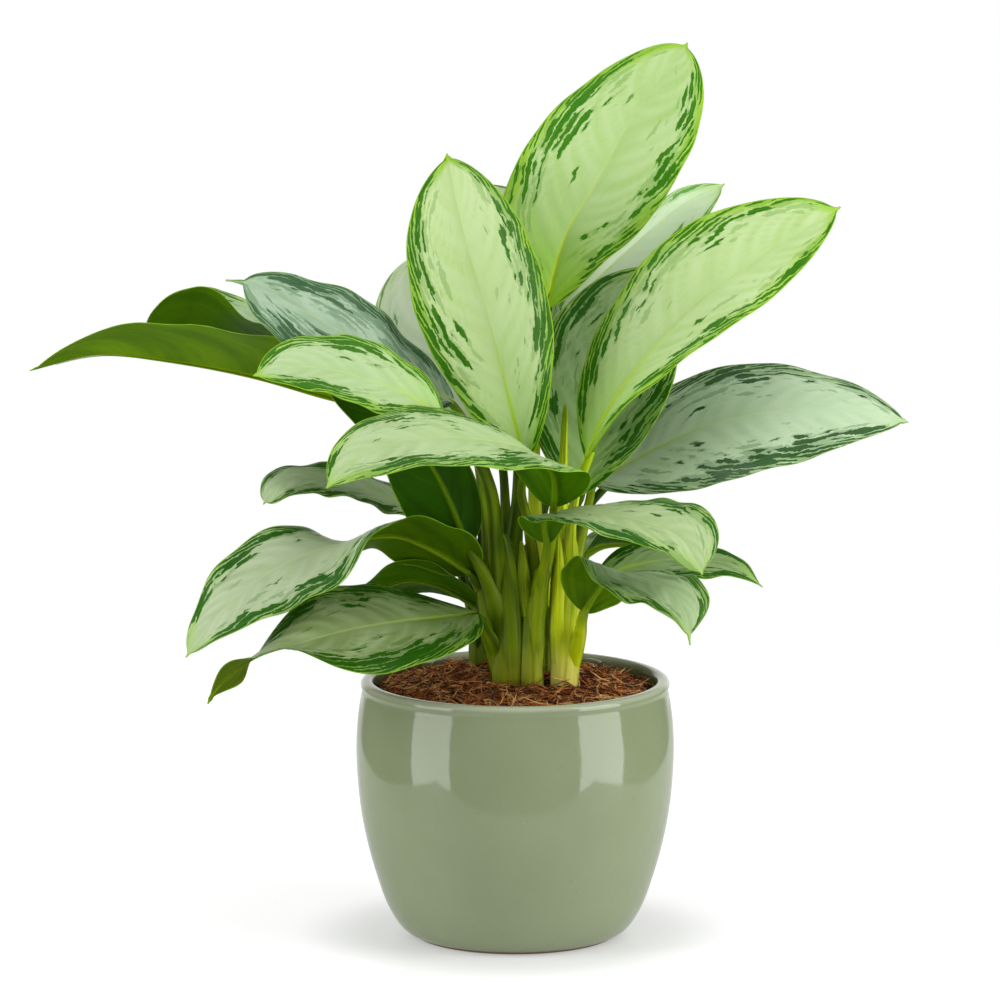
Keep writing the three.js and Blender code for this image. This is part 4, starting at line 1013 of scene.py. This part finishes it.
def leaf_silver(graph, spot, look, lines, clouds):
    """The blade's pale middle, greener at its foot and towards its margin, with painted light where its
    quilting bulges up and painted shade where it sinks.
    """
    relief = graph.read("relief")[0]
    pale = graph.mix(graph.ramp(clouds, 0.3, 0.7), look.pale, look.pale_cloud)
    pale = graph.tint(pale, look.pale_line, lines, 0.4, 0.75, 0.12)
    # Painted light and shade on the quilting: lighter where the blade bulges up, darker where it sinks
    # between the veins.
    pale = graph.tint(pale, look.crest, relief, 0.0, 0.35, 0.2)
    pale = graph.tint(pale, look.valley, relief, -0.1, -0.5, 0.25)
    pale = graph.tint(pale, look.foot, spot.share, 0.42, 0.0, look.foot_wash)
    in_band = graph.ramp(graph.add(spot.rim, graph.scaled(spot.wobble, 1.2)), 1.1, 0.2)
    return graph.mix(graph.times(in_band, look.band), pale, look.margin)


def leaf_top_material(name, seed, look):
    """Silvery middle, with dark streaks that run out to the margin along the blade."""
    graph = Graph(name)
    spot = leaf_spot(graph, seed, NOISE_STEP)
    shift = spot.shift
    spot.rim = graph.times(spot.from_margin, 0.1)  # centimetres from the margin
    spot.length = graph.times(spot.run, 0.1)  # and along the blade
    spot.wobble = graph.noise(graph.stretched(spot.length, spot.part, shift, (0.35, 1.5)), detail=1.0)
    spot.tremble = graph.noise(graph.stretched(spot.length, spot.rim, shift, (2.2, 5.0)), detail=2.0)
    lines = graph.noise(graph.stretched(spot.rim, spot.length, shift, (9.0, 0.5)), detail=2.0)
    clouds = graph.noise(graph.stretched(spot.vein, spot.across, shift, (0.5, 1.2)), detail=3.0)

    dark_here, middle_here = leaf_flames(graph, spot, look)
    pale = leaf_silver(graph, spot, look, lines, clouds)
    dark = graph.mix(graph.ramp(lines, 0.35, 0.7), look.dark, look.dark_light)
    colour = graph.mix(graph.times(middle_here, look.half_share), pale, look.half_tone)
    colour = graph.mix(dark_here, colour, dark)
    rib_here = graph.ramp(widths_from_rib(graph, spot, RIB_LINE), 1.2, 0.7)
    rib_strength = graph.ramp(spot.share, 0.1, 0.6, (look.rib_share, 0.3))
    rib_colour = graph.mix(graph.ramp(spot.share, 0.1, 0.5), look.rib_foot, look.rib)
    colour = graph.mix(graph.times(rib_here, rib_strength), colour, rib_colour)
    colour = graph.tint(colour, look.margin, spot.from_margin, *MARGIN_LINE, look.edge)

    grain = graph.noise(graph.place(), 1500.0, 2.0)
    height = graph.add(graph.scaled(lines, 0.8), graph.scaled(grain, 0.1), graph.scaled(dark_here, -0.4))
    graph.bump(height, 0.0003, 0.6)
    return soft_green(graph, colour, graph.ramp(clouds, 0.3, 0.7, (0.33, 0.42)), LEAF_GLOW, look.gloss)


def leaf_under_material(name, seed, look):
    """Plain olive green underside with its veins standing out a little paler."""
    graph = Graph(name)
    spot = leaf_spot(graph, seed, UNDER_NOISE_STEP)
    vein, shift = spot.vein, spot.shift
    lines = graph.noise(graph.stretched(vein, spot.part, shift, (4.0, 1.2)), detail=3.0)
    clouds = graph.noise(graph.stretched(vein, spot.across, shift, (0.4, 1.0)), detail=3.0)
    colour = graph.mix(graph.ramp(clouds, 0.3, 0.7), look.under, look.under_cloud)
    colour = graph.tint(colour, look.under_vein, lines, 0.5, 0.8, 0.35)
    colour = graph.tint(colour, look.under_rib, widths_from_rib(graph, spot, UNDER_RIB_LINE), 1.2, 0.4, 0.55)
    colour = graph.tint(colour, look.margin, spot.from_margin, *MARGIN_LINE, 0.5)
    grain = graph.noise(graph.place(), 1300.0, 2.0)
    graph.bump(graph.add(graph.scaled(lines, 1.2), graph.scaled(grain, 0.08)), 0.0003, 0.5)
    return soft_green(graph, colour, graph.ramp(lines, 0.3, 0.7, (0.44, 0.54)), LEAF_GLOW, UNDER_GLOSS)


def stalk_material(name, seed, colours, foot_from, foot_to):
    """Yellow-green petiole or cane with fine streaks along it, paler towards its foot, with painted shade
    darkening its two sides.
    """
    graph = Graph(name)
    fresh, deep, light, dark, beside_blade = colours
    run, turn, height = graph.read("vein")
    lines = graph.noise(graph.stretched(turn, run, seed * 3.1, (16.0, 0.12)), detail=3.0)
    clouds = graph.noise(graph.stretched(turn, run, seed * 1.7, (2.0, 0.22)), detail=2.0)
    colour = graph.mix(graph.ramp(clouds, 0.32, 0.66), fresh, deep)
    colour = graph.tint(colour, light, lines, 0.45, 0.75, 0.4)
    colour = graph.tint(colour, light, height, foot_from, foot_to, 0.8)
    # Painted shade: each stalk is darker at its two sides, where stalks meet their neighbours.
    twice_round = graph.math("FRACT", graph.times(turn, 2.0))
    shade_at_sides = graph.math("ABSOLUTE", graph.scaled(twice_round, 2.0))
    colour = graph.tint(colour, dark, shade_at_sides, 0.6, 1.0, 0.75)
    near_blade = graph.read("size")[2]
    colour = graph.mix(graph.times(near_blade, 0.8), colour, beside_blade)
    grain = graph.noise(graph.place(), 900.0, 2.0)
    graph.bump(graph.add(lines, graph.scaled(grain, 0.2)), 0.0004, 0.5)
    return soft_green(graph, colour, graph.ramp(lines, 0.3, 0.7, (0.32, 0.44)), STALK_GLOW, STALK_GLOSS)


# Metres over the table between which the rim gets lighter, as thinner glaze and a painted highlight, and
# between which the foot is bare.
RIM_THIN_GLAZE_AND_HIGHLIGHT = (0.1675, 0.1714)
BARE_FOOT = (0.0026, 0.0018)


def glaze_material():
    """Glossy sage-green glaze, thinner on the rim and lighter there, partly as a painted highlight, with a
    bare clay foot.
    """
    graph = Graph("sage_glaze")
    place = graph.place()
    height = graph.node("ShaderNodeSeparateXYZ", {0: place}).outputs[2]
    clouds = graph.noise(place, 9.0, 3.0)
    specks = graph.noise(place, 420.0, 2.0)
    colour = graph.mix(graph.ramp(clouds, 0.3, 0.7), linear(130, 142, 107), linear(138, 149, 115))
    colour = graph.tint(colour, linear(112, 122, 92), specks, 0.62, 0.75, 0.25)
    # Lighter towards the rim's top: partly thinner glaze, partly a painted highlight of the rim's edge.
    colour = graph.tint(colour, linear(182, 188, 160), height, *RIM_THIN_GLAZE_AND_HIGHLIGHT, 0.9)
    foot = graph.ramp(height, *BARE_FOOT)
    colour = graph.mix(foot, colour, linear(120, 96, 66))
    ripple = graph.add(graph.noise(place, 26.0, 2.0), graph.scaled(graph.noise(place, 160.0, 2.0), 0.12))
    graph.bump(ripple, 0.0012, 0.25)
    glossy = graph.ramp(clouds, 0.3, 0.7, (0.07, 0.1))
    return graph.finish(colour, graph.add(glossy, graph.times(foot, 0.6)), IOR=1.52)


def crumbly_material(name, scale, roughness, hollow_shade, crest):
    """Dark crumbs or clumps with lighter tops: painted shade in the low places and painted light on the tops.
    """
    graph = Graph(name)
    crumbs = graph.noise(graph.place(), scale, 5.0, roughness)
    # Painted light and shade: the colour follows the noise that makes the bumps, darker low and lighter high.
    colour = graph.mix(graph.ramp(crumbs, 0.35, 0.65), hollow_shade, crest)
    graph.bump(crumbs, 0.002, 0.8)
    return graph.finish(colour, 0.95)


def fibre_material():
    """Each strand has its own brown, from near black to straw."""
    graph = Graph("coir_strand")
    shade, run, chance = graph.read("strand")
    mottled = graph.noise(graph.vector(chance, run, shade), 1.6, 2.0)
    tone = graph.add(shade, graph.scaled(mottled, 0.5))
    low = graph.mix(graph.ramp(tone, 0.1, 0.5), linear(78, 34, 8), linear(196, 104, 38))
    colour = graph.mix(graph.ramp(tone, 0.5, 1.0), low, linear(252, 196, 124))
    graph.bump(mottled, 0.0002, 0.5)
    return graph.finish(colour, graph.ramp(mottled, 0.3, 0.7, (0.6, 0.8)))


# ---- Studio

def aim(piece, place, target):
    piece.location = place
    piece.rotation_euler = (Vector(target) - Vector(place)).to_track_quat("-Z", "Y").to_euler()


def make_camera():
    data = bpy.data.cameras.new("camera")
    camera = put_in_scene("camera", data)
    aim(camera, CAMERA_PLACE, CAMERA_AIM)
    distance = (Vector(CAMERA_AIM) - Vector(CAMERA_PLACE)).length
    data.sensor_width = SENSOR_WIDTH
    data.lens = SENSOR_WIDTH * distance / FIELD_WIDTH
    data.clip_end = 60.0
    bpy.context.scene.camera = camera


def make_softbox(name, place, target, width, height, power):
    data = bpy.data.lights.new(name, "AREA")
    data.shape = "RECTANGLE"
    data.size, data.size_y = width, height
    data.energy = power
    aim(put_in_scene(name, data), place, target)


def make_lights():
    for name, azimuth, distance, height, width, tall, power in SOFTBOXES:
        turn = math.radians(azimuth)
        place = (distance * math.sin(turn), -distance * math.cos(turn), height)
        make_softbox(name, place, (0, 0, height), width, tall, power)
    x, y, z, side, power = TOP_SOFTBOX
    make_softbox("softbox_top", (x, y, z), (0, 0, 0), side, side, power)


def make_world():
    """A white backdrop behind the plant and a dimmer room in front; seen directly it is all white.

    The pot mirrors the backdrop's ends only at its outline, and beside them a darker room.
    """
    graph = Graph("studio", "worlds")
    bpy.context.scene.world = graph.owner
    way = graph.node("ShaderNodeTexCoord", {}).outputs["Generated"]
    to_back = graph.node("ShaderNodeSeparateXYZ", {0: way}).outputs[1]
    lights = graph.ramp(to_back, *LIGHT_TURN, (WORLD_FRONT, WORLD_BACK))
    sides = graph.ramp(to_back, *ROOM_TURN, (WORLD_FRONT, WORLD_SIDE))
    mirrored = graph.choose(graph.ramp(to_back, *BACKDROP_TURN), sides, 1.0)
    strength = graph.choose(graph.ray("Is Glossy Ray"), lights, mirrored)
    strength = graph.choose(graph.ray("Is Camera Ray"), strength, 1.0)
    background = graph.tree.nodes["Background"].inputs
    graph.put(background["Strength"], strength)
    background["Color"].default_value = (1, 1, 1, 1)


def make_table():
    """A white table top that glows, though it is no lamp; seen directly, its glow is dimmer round the pot, a
    painted contact shadow. Its near edge ends what the pot's glaze mirrors of it.
    """
    graph = Graph("white_table")
    place = graph.place()
    colour = graph.mix(graph.noise(place, 60.0, 3.0), TABLE_GREY, TABLE_LIGHT)
    away = graph.node("ShaderNodeVectorMath", {0: place}, operation="LENGTH").outputs["Value"]
    # Painted contact shadow: the glow seen directly is dimmer near the pot's axis.
    bare = graph.ramp(away, *TABLE_SHADE, TABLE_GLOW[1:])
    glow = graph.choose(graph.ray("Is Camera Ray"), TABLE_GLOW[0], bare)
    graph.put(graph.shader.inputs["Emission Strength"], glow)
    material = graph.finish(colour, 0.55, Emission_Color=(1, 1, 1, 1))
    x, front, back = TABLE_HALF_WIDTH / MM, TABLE_FRONT / MM, TABLE_BACK / MM
    corners = [[*spot, height] for height in (-TABLE_THICKNESS / MM, 0)
               for spot in ((-x, front), (x, front), (x, back), (-x, back))]
    faces = [[3, 2, 1, 0], [4, 5, 6, 7], [0, 1, 5, 4], [1, 2, 6, 5], [2, 3, 7, 6], [3, 0, 4, 7]]
    table = make_mesh("table_top", corners, faces, [material])
    for polygon in table.data.polygons:
        polygon.use_smooth = False
    bevel = table.modifiers.new("edge", "BEVEL")
    bevel.width, bevel.segments = TABLE_BEVEL, 4


# ---- Looks of the leaves

def make_look(pale, dark, streaks_from=0.8, under=(60, 98, 2), foot_wash=0.2, band=0.4, gloss=0.18,
              rib=0.5, wash=0.0):
    """A leaf's look from its silver, its dark green and its underside's green, in sRGB.

    streaks_from: the level above which a place is dark, foot_wash and band: how green the blade is at
    its foot and beside its margin, rib: how strong the midrib's foot is, wash: how much more of the
    blade has the tone between dark and silver
    """
    def blend(a, b, share):
        return linear(*(round(p + (q - p) * share) for p, q in zip(a, b)))

    # Two of these tones are painted light and shade: the lighter one for where the quilting bulges up, the
    # darker one for where it sinks between the veins.
    return SimpleNamespace(
        pale=linear(*pale), pale_cloud=blend(pale, (225, 236, 215), 0.2),
        pale_line=blend(pale, dark, 0.22), crest=blend(pale, (240, 248, 228), 0.5),
        valley=blend(pale, dark, 0.2), dark=linear(*dark), dark_light=blend(dark, pale, 0.16),
        half_tone=blend(pale, dark, 0.5), foot=blend(pale, (150, 208, 30), 0.85),
        margin=blend(dark, (166, 210, 44), 0.85), rib=blend(pale, (215, 232, 130), 0.6),
        rib_foot=blend(pale, (186, 220, 14), 0.9),
        under=linear(*under), under_cloud=blend(under, (34, 66, 1), 0.4),
        under_vein=blend(under, (140, 175, 40), 0.25), under_rib=blend(under, (150, 176, 24), 0.7),
        foot_wash=foot_wash, band=band, edge=0.3 + 0.6 * band, gloss=gloss,
        streaks_from=streaks_from, rib_share=rib, wash=wash, half_share=0.45 + wash)


# Each leaf's colours are matched to how it looks in place, so beside the leaves' own differences they hold
# painted light and shade: the darker silver of the lower and inner leaves (leaf_left_lowest, leaf_right_tail,
# leaf_right_inner) and the darkest undersides (leaf_right_under, leaf_left_cupped, and the back leaves') are
# painted shade, and leaf_left_long's bright underside is painted light.
LOOKS = {
    "leaf_top": make_look((172, 205, 126), (50, 118, 2), 0.72, foot_wash=0.9, band=0.85, rib=0.7),
    "leaf_front_upright": make_look((190, 216, 146), (46, 108, 1), 0.64, foot_wash=0.3, band=0.95, rib=0.8),
    "leaf_right_upright": make_look((178, 206, 134), (50, 114, 4), 0.7, foot_wash=0.6, band=0.85, rib=0.95),
    "leaf_behind_top": make_look((214, 234, 198), (100, 160, 70), 0.72, foot_wash=0.1),
    "leaf_right_broad": make_look((182, 208, 168), (30, 78, 16), 0.66, foot_wash=0, band=0.2,
                                  gloss=0.5, wash=0.1),
    "leaf_right_inner": make_look((140, 174, 104), (36, 92, 8), 0.66, band=0.5, wash=0.1),
    "leaf_left_inner": make_look((190, 206, 174), (110, 145, 90), 0.9, foot_wash=0, band=0.2),
    "leaf_left_high": make_look((150, 178, 146), (44, 88, 44), 0.56, foot_wash=0, band=0.1,
                                gloss=0.5, wash=0.24),
    "leaf_left_back": make_look((158, 184, 138), (50, 100, 30), under=(86, 124, 2)),
    "leaf_left_long": make_look((172, 196, 144), (44, 96, 16), under=(104, 142, 2)),
    "leaf_left_near": make_look((170, 198, 138), (50, 110, 4), 0.63, foot_wash=0.3, band=0.8),
    "leaf_front_folded": make_look((168, 193, 134), (40, 96, 6), 0.63, (84, 134, 3), 0.3, 0.7),
    "leaf_left_curled": make_look((166, 186, 142), (50, 90, 20), 0.7, (74, 104, 2), 0, 0.2, wash=0.1),
    "leaf_left_twisted": make_look((166, 184, 142), (34, 90, 8), 0.65, (76, 112, 2)),
    "leaf_left_lowest": make_look((120, 140, 84), (32, 82, 2), 0.6, (92, 112, 14), band=0.5, wash=0.08),
    "leaf_left_under": make_look((140, 164, 110), (44, 98, 10), under=(64, 108, 2)),
    "leaf_right_near": make_look((160, 184, 124), (34, 92, 6), 0.6, (74, 118, 3)),
    "leaf_right_low": make_look((142, 168, 114), (44, 94, 12), 0.6, (88, 126, 2), wash=0.08),
    "leaf_right_tail": make_look((128, 158, 94), (34, 88, 6), 0.52, wash=0.12),
    "leaf_right_under": make_look((152, 178, 110), (40, 96, 8), under=(32, 70, 1)),
    "leaf_left_cupped": make_look((150, 176, 120), (44, 98, 12), under=(44, 88, 2)),
}
OTHER_LOOK = make_look((160, 184, 130), (44, 98, 12), under=(48, 86, 1))


def tones(*colours):
    """A stalk's two greens, the one at its foot and in its fine lines, the painted shade at its sides, and
    the green beside its blade.
    """
    return [linear(*colour) for colour in colours]


# Lit and shaded copies of one stalk's colours: the bright sets are painted light, for the stalks that stand
# in the open; shaded and deep are painted shade, for those under and behind the leaves.
STALK_TONES = {
    "bright": tones((206, 222, 20), (150, 174, 4), (242, 230, 124), (92, 116, 2), (168, 200, 10)),
    "bright_below": tones((200, 218, 16), (148, 172, 4), (242, 230, 124), (92, 116, 2), (88, 122, 3)),
    "fresh": tones((142, 166, 4), (84, 112, 1), (190, 192, 60), (44, 66, 1), (90, 124, 3)),
    "shaded": tones((112, 138, 3), (62, 92, 1), (160, 168, 40), (32, 54, 1), (64, 98, 2)),
    "deep": tones((84, 112, 2), (44, 72, 1), (128, 146, 40), (22, 40, 1), (56, 92, 2)),
}
TONE_OF = {  # the others are fresh
    "bright": ["shoot_right", "new_leaf_spear", "leaf_right_upright", "leaf_top"],
    "bright_below": ["leaf_right_low"],
    "shaded": ["shoot_left", "leaf_left_cupped", "leaf_left_twisted", "leaf_left_lowest", "leaf_left_near"],
    "deep": ["shoot_back_left", "shoot_back_middle", "shoot_back_right", "leaf_back_left",
             "leaf_back_middle", "leaf_back_right", "leaf_back_side", "leaf_back_tall", "leaf_behind_top",
             "leaf_right_inner", "leaf_left_long", "leaf_left_back", "leaf_left_curled", "leaf_left_inner"],
}
STALK_FOOT_BAND = (1.0, 0.0)  # centimetres up between which a stalk gets its foot's colour
CANE_FOOT_BAND = (20.5, 16.8)


def stalk_materials(kind, seed, foot_band):
    """For each shoot or leaf that has a tone of its own, its material; and the fresh one."""
    made = {tone: stalk_material(tone + kind, seed, colours, *foot_band)
            for tone, colours in STALK_TONES.items()}
    return {name: made[tone] for tone, names in TONE_OF.items() for name in names}, made["fresh"]


# ---- Assembly

bpy.ops.wm.read_factory_settings(use_empty=True)
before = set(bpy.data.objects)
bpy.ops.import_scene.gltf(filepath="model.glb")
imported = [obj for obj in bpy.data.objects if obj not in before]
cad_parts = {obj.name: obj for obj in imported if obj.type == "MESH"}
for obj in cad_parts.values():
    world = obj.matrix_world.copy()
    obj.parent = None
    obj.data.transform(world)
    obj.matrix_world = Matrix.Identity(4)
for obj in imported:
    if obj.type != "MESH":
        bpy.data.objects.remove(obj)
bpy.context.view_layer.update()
make_camera()
make_world()
make_lights()
make_table()
bpy.context.scene.view_settings.view_transform = "Standard"

make_pot(glaze_material())
make_coir_bed(crumbly_material("coir_bed", 180.0, 0.65, linear(34, 15, 5), linear(104, 52, 22)))
make_fibres(fibre_material())
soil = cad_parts["potting_soil"]
soil.data.materials.clear()
soil.data.materials.append(
    crumbly_material("potting_mix", 260.0, 0.7, linear(24, 16, 11), linear(74, 54, 40)))

canes, fresh_cane = stalk_materials("_cane", 2, CANE_FOOT_BAND)
for shoot in SHOOTS:
    make_shoot(shoot, canes.get(shoot.name, fresh_cane))
petioles, fresh_petiole = stalk_materials("_petiole", 1, STALK_FOOT_BAND)
for number, leaf in enumerate(LEAVES):
    name = leaf.name
    look = LOOKS.get(name, OTHER_LOOK)
    top = leaf_top_material(name + "_top", number, look)
    under = leaf_under_material(name + "_under", number, look)
    make_leaf(leaf, number, [top, under, petioles.get(name, fresh_petiole)])
